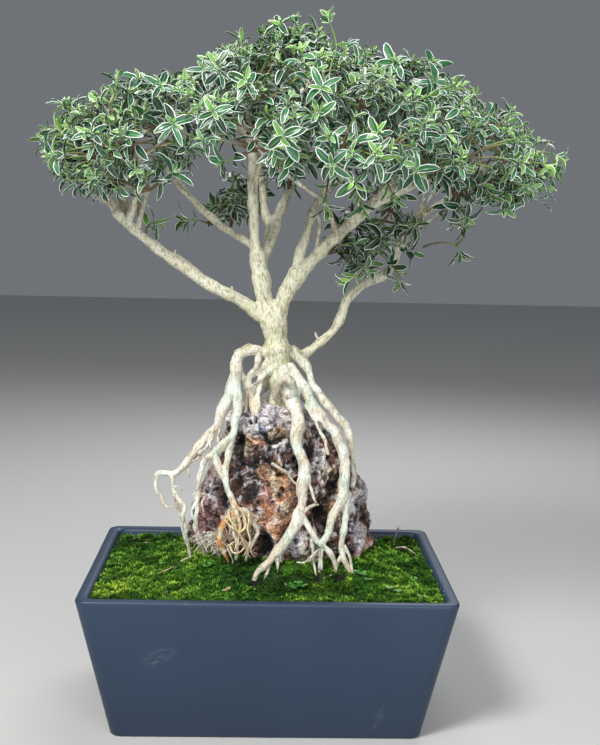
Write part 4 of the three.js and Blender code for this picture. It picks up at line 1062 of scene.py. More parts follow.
# %% Colours of the rock as masks
# x, z, half width, half height of each coloured patch on the front
PATCHES = {
    "rust": [(-16,220,8,4), (5,190,15,15), (11,160,9,14), (-2,165,8,14), (36,134,8,9), (50,168,6,9)],
    "maroon": [(-46,164,9,22), (-3,174,6,12), (25,152,6,4), (-41,150,7,6), (-25,145,8,6), (65,138,4,5),
        (46,122,12,6), (-54,140,7,12)],
    "lilac": [(0,237,60,13), (6,212,12,7), (38,208,4,13), (68,168,9,13), (70,143,7,8), (22,143,9,9),
        (33,140,3,7), (-45,172,4,10), (33,122,5,8)],
    "orange": [(9,226,3.5,3), (30,223,5,3), (9,182,9,11), (2,149,6,9), (-40,158,5,3.5), (80,138,3,9),
        (69,117,6,3), (14,166,5,8), (-14,219,4,2)],
    # charcoal: dark stone with painted shade over it, in the hollows of the front
    "charcoal_and_shade": [(5,221,12,3.2), (-9,223,6,4.5), (-25,210,4.5,11), (-17,200,8,5), (16,201,5,6),
        (30,213,7,9), (49,181,6,6), (-15,181,9,12), (-3,140,9,10), (38,164,6,12), (-37,175,4.5,12),
        (69,160,2.4,3), (60,147,2.5,9), (44,140,6,10)],
    "cream": [(1,226,5,3.6), (11,222,5,2.6), (-19,210,5,5.5), (3,188,3,16), (46,191,7,8), (27,138,3.6,7),
        (78,126,3,5), (12,170,3,6)],
    "blue": [(-10,227,3,2), (-24,194,3,2.5), (27,209,2,5)],
    "pink": [(72,131,8,12), (-42,187,4.5,5), (51,157,3,4), (66,176,5,4)],
}
# spots on the front whose deep holes are painted near black as shadow
SHADOWED_HOLES = [(-37,175,4.5,12), (40,163,6,11), (-4,141,7,10), (46,139,5,9), (60,146,3,10),
               (-26,210,4.5,10), (30,206,4,4), (5,220,10,2.4), (-22,188,2.5,6), (64,160,2,3)]


def from_spots(spots):
    """Distance from the middle of the nearest spot, over its half sizes: 1 at its rim."""
    return np.sqrt(np.min([((x - spot[0]) / spot[2]) ** 2 + ((z - spot[1]) / spot[3]) ** 2
                           for spot in spots], axis=0))


# on the other sides noise places the colours: its size, its seed, and the gain and loss on it
NOISE_PATCHES = {
    "rust": (26, 50, 3, 0.2), "maroon": (30, 51, 3, 0.5), "orange": (18, 58, 4, 1.9),
    "cream": (14, 54, 4, 1.8), "blue": (12, 55, 4, 2.2), "pink": (34, 56, 4, 1.2),
}
other_sides = {colour: np.clip(rough(rock_skin, size, 3, seed) * gain - loss, 0, 1)
               for colour, (size, seed, gain, loss) in NOISE_PATCHES.items()}
other_sides["lilac"] = np.clip((z - 214) / 9 + rough(rock_skin, 12, 2, 52), 0, 1)
# on the other sides charcoal follows how far the broad relief goes in: painted shade
other_sides["charcoal_and_shade"] = np.clip(-broad / 5 - 0.3, 0, 1)
ragged = 1.1 * rough(rock_skin, 7, 4, 57, 0.65)
rock_marks = {}
for colour, spots in PATCHES.items():
    on_front = np.clip((1.15 - from_spots(spots) + ragged) * 2.0, 0, 0.92)
    rock_marks[colour] = front * on_front + (1 - front) * other_sides[colour]
# pits, small pits and the holes in these spots are painted near black as the shade inside them
black = front * np.clip((1.05 - from_spots(SHADOWED_HOLES) + ragged) * 2.2, 0, 1)
rock_marks["pit_shade"] = np.clip(np.maximum(pits * 1.3 + 0.5 * small_pits, 0.9 * black), 0, 1)
# crest: ridge tops that get a painted highlight
rock_marks["crest"] = np.clip((ridges - 0.8) * 6, 0, 1) * np.clip(fine_ridges - 0.2, 0, 1)
# crevice: the low parts of the ridges, painted dark as shade
rock_marks["crevice_shade"] = np.clip((0.5 - ridges) * 2.2, 0, 1)
print("rock marks", ", ".join(rock_marks))

# %% Finish of the rock
stone = Finish("weathered stone", Roughness=0.88, Specular_IOR_Level=0.3)
coarse = stone.grain(7, 5, roughness=0.65)
gritty = stone.grain(1.5, 4, roughness=0.65)
speck = stone.cells(1.8)
pale_grains_and_glints = stone.grain(2.6, 4, roughness=0.7)
clasts = stone.cells(4.6, stone.place((1, 1, 1.3)))
stain = stone.grain(11, 4, stone.place((1, 1, 0.55)), 0.7)
# the charcoal mark: dark stone and painted shade in the hollows
dark_and_shaded = stone.mark("charcoal_and_shade")
stone_tone = stone.blend(coarse.above(0.4, 0.2), paint("2e2221"), paint("8a6a5d"))
for colour, dark, light in [
    ("maroon", "64383f", "cfa6aa"), ("rust", "5a3422", "dba984"), ("pink", "b2877e", "f6dcd6"),
    ("lilac", "9a909a", "fdf9fa"), ("orange", "a85c32", "f8cba2"), ("charcoal_and_shade", "09090d", "35323a"),
    ("cream", "bda474", "fff6dc"), ("blue", "182636", "7ea4d6"),
]:
    shade = stone.blend((coarse * 0.45 + gritty * 0.55).above(0.42, 0.16), paint(dark), paint(light))
    stone_tone = stone.blend(stone.mark(colour), stone_tone, shade)
stone_tone = stone.coats(
    stone_tone,
    (stain.above(0.57, 0.05) * 0.5, "a8592c"), (stain.above(0.64, 0.04) * 0.6, "e2bd92"),
    # fbf5f2 over the crest mark is a painted highlight on the ridge tops
    (clasts.above(0.52, 0.2) * 0.55, "1a1314"), (stone.mark("crest") * 0.95, "fbf5f2"),
    # 120e0e over the crevice mark is painted shade
    # dark specks: partly dark grains, partly painted shade in the small pores that the bump dents
    (stone.mark("crevice_shade") * 0.85, "120e0e"), ((1 - speck.above(0.2, 0.18)) * 0.6, "1b1416"),
    # 0a0808 over the pit mark is painted shade in pits and holes
    # pale flecks, partly pale grains and partly painted glints, fewer in the shaded hollows
    (pale_grains_and_glints.above(0.6, 0.06) * (0.6 - 0.45 * dark_and_shaded), "f7eae7"), (stone.mark("pit_shade"), "0a0808"))
stone.feed(Base_Color=stone_tone, Roughness=0.92 - 0.4 * stone.mark("blue") - 0.25 * dark_and_shaded)
stone.bump(gritty + 0.7 * speck, 0.9, 0.9)
print("stone nodes", len(stone.tree.nodes))

# %% The rock's piece, closed at its base and crest
CREST_RISE = 0.4
rock_points = np.concatenate([
    rock_skin.reshape(-1, 3), [rock_skin[0].mean(axis=0)], [rock_skin[-1].mean(axis=0) + UP * CREST_RISE]])
count = rock_rows * ROCK_ROUND
ring = np.arange(ROCK_ROUND)
rock_faces = [grid_faces(rock_rows, ROCK_ROUND, wrap=True), np.concatenate([
    cap_faces(ring, count, flip=True), cap_faces(ring + (rock_rows - 1) * ROCK_ROUND, count + 1)])]
rock = add_mesh("rock_surface", rock_points, rock_faces, [stone.material], {
    colour: np.concatenate([mask.ravel(), [0, 0]]) for colour, mask in rock_marks.items()
})
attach(rock, "root")
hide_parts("rock")
print("rock triangles", triangles_in(rock))

# %% [markdown]
# ## Fine roots
#
# Between the strong roots hang many thin ones: a tangle at the end of the middle left root,
# white hairs beside it, and rootlets which creep over the stone all round. They are tubes
# with few sides. The random ones on the rock follow its smooth sections, so they lie on its
# ridges and span its hollows, as real ones do.

# %% Rootlets that are seen one by one, as x, y, z and radius
ROOTLETS = [
    # loose loops at the end of the middle left root
    [(-28,-51,173,1.5), (-25,-54,167,1.6), (-22,-55,160,1.5), (-22,-55,154,1.3), (-25,-54,151,0.8)],
    [(-21,-52,170,1.4), (-19,-55,165,1.4), (-18,-56,158,1.2), (-22,-56,153,0.9), (-27,-55,154,0.7)],
    [(-17,-53,170,1), (-15,-56,163,0.9), (-16,-57,155,0.8), (-14,-57,147,0.8), (-16,-56,139,0.6),
     (-14,-54,133,0.5)],
    [(-29,-55,143,0.6), (-26,-57,137,0.7), (-22,-57,137,0.7), (-18,-57,141,0.6), (-20,-57,147,0.5),
     (-23,-56,143,0.5)],
    [(-33,-55,163,0.6), (-29,-57,158,0.7), (-24,-58,155,0.7), (-20,-58,149,0.6), (-16,-57,143,0.5),
     (-17,-55,135,0.5)],
    [(-23,-57,154,0.8), (-20,-58,148,0.6), (-17,-57,141,0.5), (-19,-55,134,0.5)],
    [(-31,-53,169,1), (-30,-56,162,0.8), (-26,-57,157,0.7), (-23,-57,147,0.5), (-26,-56,139,0.5)],
    # side shoots of the front root and its foot
    [(57,-46,141,1.5), (61,-48,133,1.4), (63,-50,126,1.2), (65,-52,118,0.9)],
    [(25,-50,167,1.6), (30,-52,172,1.4), (34,-52,174,1), (37,-52,174,0.5)],
    [(29,-46,199,1.2), (30,-48,191,1.1), (32,-50,182,1.1), (35,-52,175,1)],
    [(0,-60,128,1.3), (-2,-62,122,1), (-4,-63,118,0.6)],
    [(5,-58,136,1.9), (7,-59,131,1.5), (7,-60,123,0.8)],
    [(-5,-61,126,0.9), (-9,-63,120,0.7), (-11,-64,116,0.4)],
    # a dry twig over the left arch, roots crossing under it and the curl below the trunk
    [(-8,-6,283,1.2), (-13,-7,286,1), (-17,-8,289,1.1), (-23,-10,287,0.9), (-29,-12,284,0.9),
     (-29,-12,280,0.7)],
    [(-4,-10,267,1), (-9,-16,263,0.8), (-14,-18,260,0.8), (-17,-19,256,0.6)],
    [(-11,-8,279,2.7), (-12,-12,273,2.3), (-16,-14,267,1.5)],
    [(4,-16,247,2.2), (4,-22,256,2.8), (6,-25,263,3.2), (11,-26,266,3.6), (15,-26,263,3.4),
     (17,-25,256,3.1), (14,-26,252,2.5), (10,-27,253,1.8)],
    # strands between the left roots
    [(-42,-26,232,1.5), (-39,-28,226,1.3), (-40,-30,220,1.2), (-39,-36,216,0.8)],
    [(-45,-27,224,1.9), (-47,-30,218,1.8), (-50,-33,212,1.4), (-54,-35,209,2.1), (-54,-36,207,1.7)],
    [(-44,-28,221,1.1), (-46,-32,216,1.1), (-44,-37,212,1.1)],
    [(-54,-35,206,0.8), (-57,-34,204,0.8), (-60,-32,202,0.6)],
    [(-63,-29,194,1.1), (-62,-30,191,0.8), (-62,-30,188,0.5)],
    [(-71,-30,181,1.2), (-69,-30,180,0.8), (-67,-30,178,0.5)],
    [(-74,-31,176,1.2), (-73,-31,172,0.9), (-72,-31,169,0.4)],
    [(-70,-31,169,1.2), (-72,-31,167,1.5), (-70,-32,164,1.2), (-67,-32,161,0.9)],
    [(-74,-31,166,0.5), (-71,-32,162,0.7), (-68,-32,158,0.9), (-67,-31,149,0.8), (-65,-30,140,0.8),
     (-62,-28,130,0.7), (-60,-27,120,0.5)],
    [(-50,-39,178,1.1), (-54,-39,175,1.1), (-57,-39,170,1.1), (-59,-40,163,1.1), (-57,-40,157,1),
     (-55,-39,151,0.8), (-57,-39,147,0.6)],
    [(-53,-40,145,1.5), (-51,-41,141,1.5), (-49,-41,137,1.2)],
    [(-48,-40,178,1), (-51,-42,172,1), (-50,-43,165,0.5)],
    [(-59,-39,175,0.4), (-58,-39,178,0.5), (-55,-39,179,0.5), (-55,-39,176,0.4)],
    # rootlets on the face of the rock
    [(1,-46,204,1.2), (6,-48,201,1.2), (12,-48,198,1), (16,-47,192,0.9), (20,-46,188,0.9)],
    [(21,-58,131,0.7), (28,-59,132,0.8), (33,-58,136,0.8), (38,-56,141,0.9)],
    [(32,-53,147,1.5), (33,-55,140,1.3), (34,-56,132,1.1), (36,-56,120,0.8)],
    [(38,-55,141,1.1), (39,-55,134,1.3), (40,-55,124,1.1)],
]


print("rootlets placed by hand", len(ROOTLETS))

# %% Random rootlets: a tangle, hairs and creepers
TANGLE_STEPS, HAIR_STEPS, CREEPER_STEPS = 7, 4, 6
HAIR_FLOOR, CREEPER_FLOOR = 118, 106  # the lowest height that each kind reaches
CREEPER_LIFT = 0.8
ROOTING_REACH = 7


def tangle(rng, middle, size, count, radius, curl):
    """Thin loops round a middle: each starts near the top of an ellipsoid and wanders down it,
    its angle and reach changed by steps of a random walk."""
    routes = []
    for _ in range(count):
        t = np.linspace(0, 1, TANGLE_STEPS)
        turn = rng.uniform(-2.6, -0.5) + np.cumsum(rng.normal(0, curl, TANGLE_STEPS)) * 0.5
        reach = rng.uniform(0.55, 1.05) + np.cumsum(rng.normal(0, 0.09, TANGLE_STEPS))
        drop = 1 - t * rng.uniform(1.1, 2.1)
        wide = np.sqrt(np.clip(1.15 - drop ** 2, 0.08, 1))
        x = middle[0] + size[0] * reach * wide * np.cos(turn)
        y = middle[1] + size[1] * reach * wide * np.sin(turn)
        routes.append(np.column_stack([x, y, middle[2] + size[2] * drop, radius * (1.1 - 0.6 * t)]))
    return routes


strong_centres = np.concatenate([even_points(route, 1.0)[0] for route in ROOTS.values()])


def rooted(route):
    """A route led back to the middle of the strong root beside it, if its start lies off that
    middle and within 7 mm of the root's skin."""
    away = np.linalg.norm(strong_centres[:, :3] - route[0, :3], axis=1)
    nearest = away.argmin()
    start = [*strong_centres[nearest, :3], route[0, 3]]
    beside = 1.5 < away[nearest] < ROOTING_REACH + strong_centres[nearest, 3]
    return np.vstack([[start], route]) if beside else route


def hairs(rng, middle, size, count, length, radius):
    """White hairs which start along a line and spread down and out in kinked steps."""
    routes = []
    t = np.linspace(0, 1, HAIR_STEPS + 1)
    taper = np.linspace(1.3, 0.5, HAIR_STEPS + 1)
    for _ in range(count):
        turn = rng.uniform(-1.1, 1.1) + np.cumsum(rng.normal(0, 0.35, HAIR_STEPS))
        step = length / HAIR_STEPS * rng.uniform(0.6, 1.2)
        x = middle[0] + size[0] * rng.uniform(-1, 1) + np.concatenate([[0], np.cumsum(np.sin(turn) * step)])
        y = middle[1] - size[1] * rng.uniform(-0.4, 1) - t * rng.uniform(-2, 3)
        z = middle[2] + rng.uniform(-4, 3) - np.concatenate([[0], np.cumsum(np.cos(turn) * step)])
        routes.append(np.column_stack([x, y, np.maximum(z, HAIR_FLOOR), radius * taper]))
    return routes


def creeper(rng, angle, z, length, radius):
    """A rootlet down the rock: its height falls evenly while its angle wanders."""
    t = np.linspace(0, 1, CREEPER_STEPS)
    angles = angle + np.cumsum(rng.normal(0, 0.055, CREEPER_STEPS))
    heights = z - length * t + rng.normal(0, 0.8, CREEPER_STEPS)
    points = rock_point(angles, np.maximum(heights, CREEPER_FLOOR), CREEPER_LIFT)
    return np.column_stack([points, radius * (1.1 - 0.55 * t)])

# %% The fine roots' piece
rng = np.random.default_rng(21)
fine_routes = [rooted(np.array(route, float)) for route in ROOTLETS]
fine_routes += tangle(rng, (-23, -50, 155), (13, 6, 16), 24, 0.3, 0.7)
fine_routes += hairs(rng, (-42, -44, 148), (11, 4), 60, 15, 0.32)
fine_routes += hairs(rng, (-23, -52, 142), (10, 4), 14, 12, 0.32)
for _ in range(70):
    fine_routes.append(creeper(rng, rng.uniform(0.35, 2.9), rng.uniform(130, 225), rng.uniform(20, 65),
                               rng.uniform(0.5, 1.3)))
fine_points, fine_faces = tubes_along(fine_routes, step=2.2, sides=6, seed=300, gnarl=0.8)
tangled = np.exp(-((fine_points[:, 0] + 23) / 13) ** 4 - ((fine_points[:, 2] - 152) / 20) ** 4)
fine_piece = add_wood("fine_roots", fine_points, fine_faces, 0.25 + 0.6 * noise(fine_points, 2.5, 80),
                      0.0, 1.0, np.where(fine_points[:, 1] < -40, tangled * 0.42, 0))
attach(fine_piece, "root")
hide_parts("wood")
print("fine roots", len(fine_routes), "triangles", triangles_in(fine_piece))

# %% [markdown]
# ## The moss
#
# Moss covers the soil in soft cushions, higher round the rock and lower at the edges of the
# pot. The carpet is a height over x and y: the solid's mound with cushions added by noise.
# On it stand thousands of little stars of leafy stems, each leaf only two triangles. Their
# feet are painted dark as shade, and their tips light, partly as paler growth and partly as
# painted light, which gives moss its depth. Seedlings with round leaves, grains of grit, a
# bare twig and one thin stalk stand among them.

# %% Height of the carpet
MOSS_EDGE, MOSS_MOUND, MOSS_TOP = 109, 20, 128  # height at the rim, of the mound, and at most
CUSHION_SIZE, CUSHION_HEIGHT = 11, 2.2
BARE_DIP = 3.0


def moss_height(x, y):
    """Edge height, a flat-topped mound round the rock, a rise at the front, and small waves."""
    away = np.hypot((x - 9) / 97, (y - 2) / 74)
    rise = -1.5 * np.clip(y / 60, -1, 1)
    waves = np.sin(0.33 * x + 0.21 * y) + np.sin(0.45 * y - 0.12 * x + 2)
    return np.minimum(MOSS_EDGE + MOSS_MOUND * np.exp(-away ** 6) + rise + 1.1 * waves, MOSS_TOP)


def from_rock(x, y):
    """Distance from the middle of the rock's foot, over its half sizes: 1 at its edge."""
    return np.hypot((x - 13) / 71, (y - 5) / 49)


def spot_share(x, y, spots):
    """1 inside any of some spots, falling off softly: the largest of their smooth bumps."""
    return np.max([bump_at(x, y, spot) for spot in spots], axis=0)


# x, y, half width and half depth of each spot
BARE_SPOTS = [(-6,-68,15,6), (34,-60,9,7), (53,-57,8,5), (-30,-62,9,4), (20,-80,14,2)]
# dark spots are painted shade on the moss and bright spots painted light; the first two bright spots are
# also yellower moss
SHADED_SPOTS = [(-4,-70,24,11), (40,-68,30,14), (-112,62,28,24), (122,10,16,60)]
YELLOW_AND_LIT_SPOTS = [(-122,-66,20,18), (-58,-12,24,14), (-40,-76,30,12), (74,-58,26,14)]


def bare_soil(x, y):
    """1 where soil shows: at the feet of the front roots and here and there at the rim."""
    return spot_share(x, y, BARE_SPOTS)


def carpet_height(x, y):
    """The moss height with cushions about 11 mm wide, dipping where bare soil shows."""
    spot = np.stack([x, y, np.zeros_like(x)], axis=-1)
    cushions = np.sqrt(np.clip(0.72 - nearest_cell(spot, CUSHION_SIZE, 70), 0, 1)) * CUSHION_HEIGHT
    return moss_height(x, y) - 1.6 + cushions + 0.5 * rough(spot, 4, 2, 71) - BARE_DIP * bare_soil(x, y)

# %% The carpet as a grid with a skirt and a bottom
MOSS_COLUMNS, MOSS_ROWS = 130, 90
MOSS_FOOT = SOIL_TOP + 0.3
moss_half_x = pot_half(POT_WIDTH, 106) - POT_WALL + 0.4
moss_half_y = pot_half(POT_DEPTH, 106) - POT_WALL + 0.4
carpet_x, carpet_y = np.meshgrid(np.linspace(-1, 1, MOSS_COLUMNS) * moss_half_x,
                                 np.linspace(-1, 1, MOSS_ROWS) * moss_half_y)
carpet = np.stack([carpet_x, carpet_y, carpet_height(carpet_x, carpet_y)], axis=-1).reshape(-1, 3)
index = np.arange(len(carpet)).reshape(MOSS_ROWS, MOSS_COLUMNS)
edge_loop = np.concatenate([index[0, :-1], index[:-1, -1], index[-1, :0:-1], index[:0:-1, 0]])
lower = np.arange(len(edge_loop)) + len(carpet)
skirt = np.stack([edge_loop, lower, np.roll(lower, -1), np.roll(edge_loop, -1)], axis=-1)
under = carpet[edge_loop] * [1, 1, 0] + UP * MOSS_FOOT
carpet_all = np.concatenate([carpet, under, [UP * MOSS_FOOT]])
bottom = cap_faces(lower, len(carpet_all) - 1, flip=True)
carpet_quads = np.concatenate([grid_faces(MOSS_ROWS, MOSS_COLUMNS, wrap=False), skirt])
print("moss carpet from", round(carpet[:, 2].min(), 1), "to", round(carpet[:, 2].max(), 1), "mm high")

# %% Finish of moss
moss_finish = Finish("moss", Roughness=0.85, Specular_IOR_Level=0.25)
painted_moss_light = moss_finish.mark("painted_moss_light")
moss_patch = moss_finish.mark("patch")
# painted shade: the dark tone at the feet of the moss leaves and on the carpet; the light tone at the tips
# is partly paler growth and partly painted light
moss_shade_tone = moss_finish.blend(moss_patch, paint("081704"), paint("152807"))
moss_mid = moss_finish.blend(moss_patch, paint("38741e"), paint("62901e"))
moss_lit_tone = moss_finish.blend(moss_patch, paint("93d850"), paint("dcf05c"))
moss_tone = moss_finish.blend(painted_moss_light.above(0.0, 0.4), moss_shade_tone, moss_mid)
moss_tone = moss_finish.blend(painted_moss_light.above(0.35, 0.5), moss_tone, moss_lit_tone)
soil_tone = moss_finish.blend(moss_finish.grain(2.4, 4), paint("060504"), paint("1d1610"))
moss_finish.feed(Base_Color=moss_finish.blend(moss_finish.mark("bare"), moss_tone, soil_tone))
moss_finish.bump(moss_finish.grain(1.6, 3), 1.0, 0.8)


def moss_patches(points):
    """0 for deep green to 1 for yellow green: broad noise, brighter in a few spots."""
    bright = spot_share(points[:, 0], points[:, 1], YELLOW_AND_LIT_SPOTS[:2])
    return np.clip(0.36 + 0.55 * rough(points, 24, 3, 73) + 0.5 * bright, 0, 1)


def moss_light_share(points):
    """How much painted light the tips get: cushions and clumps by noise, with lit and shaded spots."""
    x, y = points[:, 0], points[:, 1]
    clumps = 0.35 * rough(points, 26, 2, 76) + 0.5 * rough(points, 7.5, 2, 77)
    return np.clip(0.58 + clumps + 0.30 * spot_share(x, y, YELLOW_AND_LIT_SPOTS)
                   - 0.27 * spot_share(x, y, SHADED_SPOTS), 0.14, 1.1)


crumbled = 0.8 * rough(carpet_all, 5, 2, 79)
carpet_piece = add_mesh("moss_carpet", carpet_all, [carpet_quads, bottom], [moss_finish.material], {
    # the carpet under the stars is mostly painted shade, with a little painted light
    "painted_moss_light": 0.22 * moss_light_share(carpet_all) + 0.1 * rough(carpet_all, 3, 2, 74),
    "patch": moss_patches(carpet_all),
    "bare": np.clip(1.6 * bare_soil(carpet_all[:, 0], carpet_all[:, 1]) - 0.5 + crumbled, 0, 1),
})
print("moss nodes", len(moss_finish.tree.nodes))

# %% Stars of moss leaves
MOST_TUFTS, BLADES = 10900, 9
SPIRAL = 2.4  # the turn from one leaf to the next round a stem
RIM_GAP = 1.5
rng = np.random.default_rng(7)
tuft = np.column_stack([rng.uniform(-moss_half_x + RIM_GAP, moss_half_x - RIM_GAP, MOST_TUFTS * 2),
                        rng.uniform(-moss_half_y + RIM_GAP, moss_half_y - RIM_GAP, MOST_TUFTS * 2),
                        np.zeros(MOST_TUFTS * 2)])
in_rock = from_rock(tuft[:, 0], tuft[:, 1]) < 0.93
thin = rough(tuft, 7, 2, 78) < rng.uniform(-0.9, -0.25, len(tuft))
bare = bare_soil(tuft[:, 0], tuft[:, 1]) > rng.uniform(0.45, 1.05, len(tuft))
tuft = tuft[~(in_rock | thin | bare)][:MOST_TUFTS]
tufts = len(tuft)
tuft[:, 2] = carpet_height(tuft[:, 0], tuft[:, 1]) - 0.5
star_size = rng.uniform(0.7, 1.35, tufts) * (1 + 0.25 * noise(tuft, 13, 75))
tip_light = moss_light_share(tuft) * rng.uniform(0.4, 1.5, tufts)
lean = np.tile(np.concatenate([[0.1], np.linspace(0.45, 1.25, BLADES - 1)]), tufts)
turn = np.repeat(rng.uniform(0, 2 * np.pi, tufts), BLADES) + np.tile(np.arange(BLADES) * SPIRAL, tufts)
lean = lean + rng.normal(0, 0.16, len(lean))
turn = turn + rng.normal(0, 0.3, len(turn))
stem_tilt = np.repeat(rng.normal(0, 0.3, (tufts, 2)), BLADES, axis=0)
blade_way = np.column_stack([np.sin(lean) * np.cos(turn), np.sin(lean) * np.sin(turn), np.cos(lean)])
blade_way[:, :2] += stem_tilt * 0.6
blade_side = np.column_stack([-np.sin(turn), np.cos(turn), np.zeros(len(turn))])
tall = (np.repeat(star_size, BLADES) * rng.uniform(2.0, 3.3, len(turn)))[:, None]
wide = (np.repeat(star_size, BLADES) * rng.uniform(0.32, 0.52, len(turn)))[:, None]
foot = np.repeat(tuft, BLADES, axis=0)
foot[:, :2] += rng.normal(0, 0.35, (len(foot), 2))
blades = np.stack([
    foot, foot + blade_way * tall * 0.55 + blade_side * wide,
    foot + blade_way * tall + UP * 0.2, foot + blade_way * tall * 0.55 - blade_side * wide,
], axis=1).reshape(-1, 3)
blade_faces = np.arange(len(foot) * 4).reshape(-1, 4)
# painted light up each moss leaf: shade at its foot, light at its tip, scaled by how lit its star is
blade_light = np.repeat(tip_light, BLADES) * rng.uniform(0.7, 1.15, len(foot))
tips = np.tile([0.0, 0.5, 1.0, 0.5], len(foot)) * np.repeat(blade_light, 4)
tuft_piece = add_mesh("moss_tufts", blades, [blade_faces], [moss_finish.material], {
    "painted_moss_light": tips, "patch": moss_patches(blades), "bare": np.zeros(len(blades)),
})
print("moss stars", tufts, "with", BLADES, "leaves each")

# %% Seedlings with round leaves
# x, y, leaf radius and number of leaves of the seedlings that are seen one by one
SEEDLINGS = [(-47,-47,1.9,2), (-43,-48,1.9,2), (19,-75,2.3,6), (25,-74,2.1,5), (22,-71,1.8,4),
             (71,-54,1.9,5), (75,-57,1.7,4), (67,-51,1.6,4), (91,-63,2.2,5), (96,-65,2.0,5)]
SMALL_SEEDLINGS, SEEDLING_HEIGHT = 20, 2.6
DISC_SIDES = 8
seedlings = SEEDLINGS + [(rng.uniform(-130, 130), rng.uniform(-88, 88), rng.uniform(0.8, 1.4), 3)
                         for _ in range(SMALL_SEEDLINGS)]
ring = np.arange(DISC_SIDES)
ring_turn = (ring / DISC_SIDES * 2 * np.pi)[:, None]
disc_points, disc_faces, disc_young = [], [], []
for x, y, radius, leaves in seedlings:
    if from_rock(x, y) < 1.0:
        continue
    middle = np.array([x, y, float(carpet_height(np.array(x), np.array(y))) + SEEDLING_HEIGHT])
    for number in range(leaves):
        turn = number * SPIRAL + rng.uniform(-0.3, 0.3)
        way = np.array([np.cos(turn), np.sin(turn), rng.uniform(0.05, 0.5)])
        side = np.array([-np.sin(turn), np.cos(turn), 0.0])
        centre = middle + way * radius * 1.15 + UP * rng.uniform(-0.4, 0.8)
        rim = centre + (np.cos(ring_turn) * way + np.sin(ring_turn) * side) * radius
        start = (DISC_SIDES + 1) * len(disc_points)
        disc_points.append(np.vstack([rim + UP * 0.3, centre]))
        disc_faces.append(cap_faces(start + ring, start + DISC_SIDES))
        disc_young.append(np.full(DISC_SIDES + 1, rng.uniform(0, 1)))
seed_finish = Finish("seedling leaves", Roughness=0.5)
seed_tone = seed_finish.blend(seed_finish.mark("young"), paint("3a7c2a"), paint("79b85c"))
seed_shade = seed_finish.grain(2, 2).above(0.35, 0.3) * 0.6
seed_finish.feed(Base_Color=seed_finish.blend(seed_shade, seed_tone, paint("1c5424")))
seedling_piece = add_mesh("moss_seedlings", np.concatenate(disc_points), [np.concatenate(disc_faces)],
                          [seed_finish.material], {"young": np.concatenate(disc_young)})
print("seedling leaves", len(disc_points))

# %% Grit, lying twigs and a stalk
# x, y, height over the carpet and radius of the lying twigs and of one stalk with its capsule
LITTER = [[(-87,-40,1,0.3), (-76,-36,1.6,0.45), (-66,-31,2.0,0.45), (-58,-26,1.6,0.3)],
          [(106,41,2.5,0.5), (115,42,3.6,0.8), (124,40,3,0.6)],
          [(108,66,0,0.4), (109,66,8,0.35), (111,65,15,0.35), (111.5,65,17,1.0), (112,65,19,1.1),
           (112,65,20,0.5)],
          [(-34,-72,2.6,0.6), (-31,-73,3.2,1.2), (-28,-74,3.2,0.9)],
          [(-120,58,1,0.3), (-108,62,1.8,0.4), (-98,66,1.4,0.3)]]
litter_rows = []
for route in LITTER:
    route = np.array(route, float)
    route[:, 2] += carpet_height(route[:, 0], route[:, 1])
    litter_rows.append(tube(even_points(route, 1.2)[0], 6, 0))
GRAINS = 90
grit = np.column_stack([rng.uniform(-132, 132, GRAINS), rng.uniform(-90, 90, GRAINS)])
grit = grit[from_rock(grit[:, 0], grit[:, 1]) > 1.0]
for x, y in grit:
    z = float(carpet_height(np.array(x), np.array(y))) + rng.uniform(0.8, 2.2)
    size = rng.uniform(0.3, 0.65)
    grain = np.array([(x, y, z, 0.1), (x + size, y, z, size), (x + 2 * size, y, z + 0.3, 0.1)])
    litter_rows.append(tube(grain, 5, 0))
litter_points, litter_faces = gathered(litter_rows)
litter_finish = Finish("twigs and grit", Roughness=0.8)
pale = litter_finish.grain(5, 2).above(0.45, 0.2)
litter_finish.feed(Base_Color=litter_finish.blend(pale, paint("a08a5e"), paint("e6e2d2")))
litter_piece = add_mesh("moss_litter", litter_points, litter_faces, [litter_finish.material])
for piece in (carpet_piece, tuft_piece, seedling_piece, litter_piece):
    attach(piece, "root")
    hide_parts("moss")
    print(piece.name, triangles_in(piece), "triangles")

# %% [markdown]
# ## The foliage
#
# Serissa leaves stand in crossed pairs, each pair a quarter turn from the last, crowded
# into a rosette at the end of every shoot. A leaf is a blunt oval up to 18 mm long, folded
# along its middle vein, arched down, deep green with a thin cream edge. One leaf is a small
# grid: t runs from stalk to tip and a across from edge to edge. All the leaves of a spray
# are worked out at once, because every step is a sum on arrays of leaves.

# %% A batch of leaves
# t of the rows and a of the points across, for leaves in front and for those further back
FINE_LEAF = [(0.05, 0.22, 0.5, 0.78, 0.95), (-1.0, -0.5, 0.0, 0.5, 1.0)]
PLAIN_LEAF = [(0.06, 0.28, 0.7, 0.94), (-1.0, 0.0, 1.0)]


def leaf_width(t):
    """Half width along the leaf as a share of its greatest: a blunt oval, full in the middle."""
    return (1 - np.abs(2 * t ** 0.9 - 1) ** 2.4) ** 0.62


def leaf_plan(rows, across):
    """Where the points of one leaf lie, as t and a, and its faces: a fan at the stalk, quads
    between rows, and a fan at the tip."""
    t = np.concatenate([[0.0], np.repeat(rows, len(across)), [1.0]])
    a = np.concatenate([[0.0], np.tile(across, len(rows)), [0.0]])
    quads = grid_faces(len(rows), len(across), wrap=False) + 1
    here = np.arange(len(across) - 1)
    last = 1 + (len(rows) - 1) * len(across)
    stalk = np.stack([here * 0, here + 2, here + 1], axis=-1)
    tip = np.stack([last + here, last + here + 1, here * 0 + len(t) - 1], axis=-1)
    return t, a, quads, np.concatenate([stalk, tip])


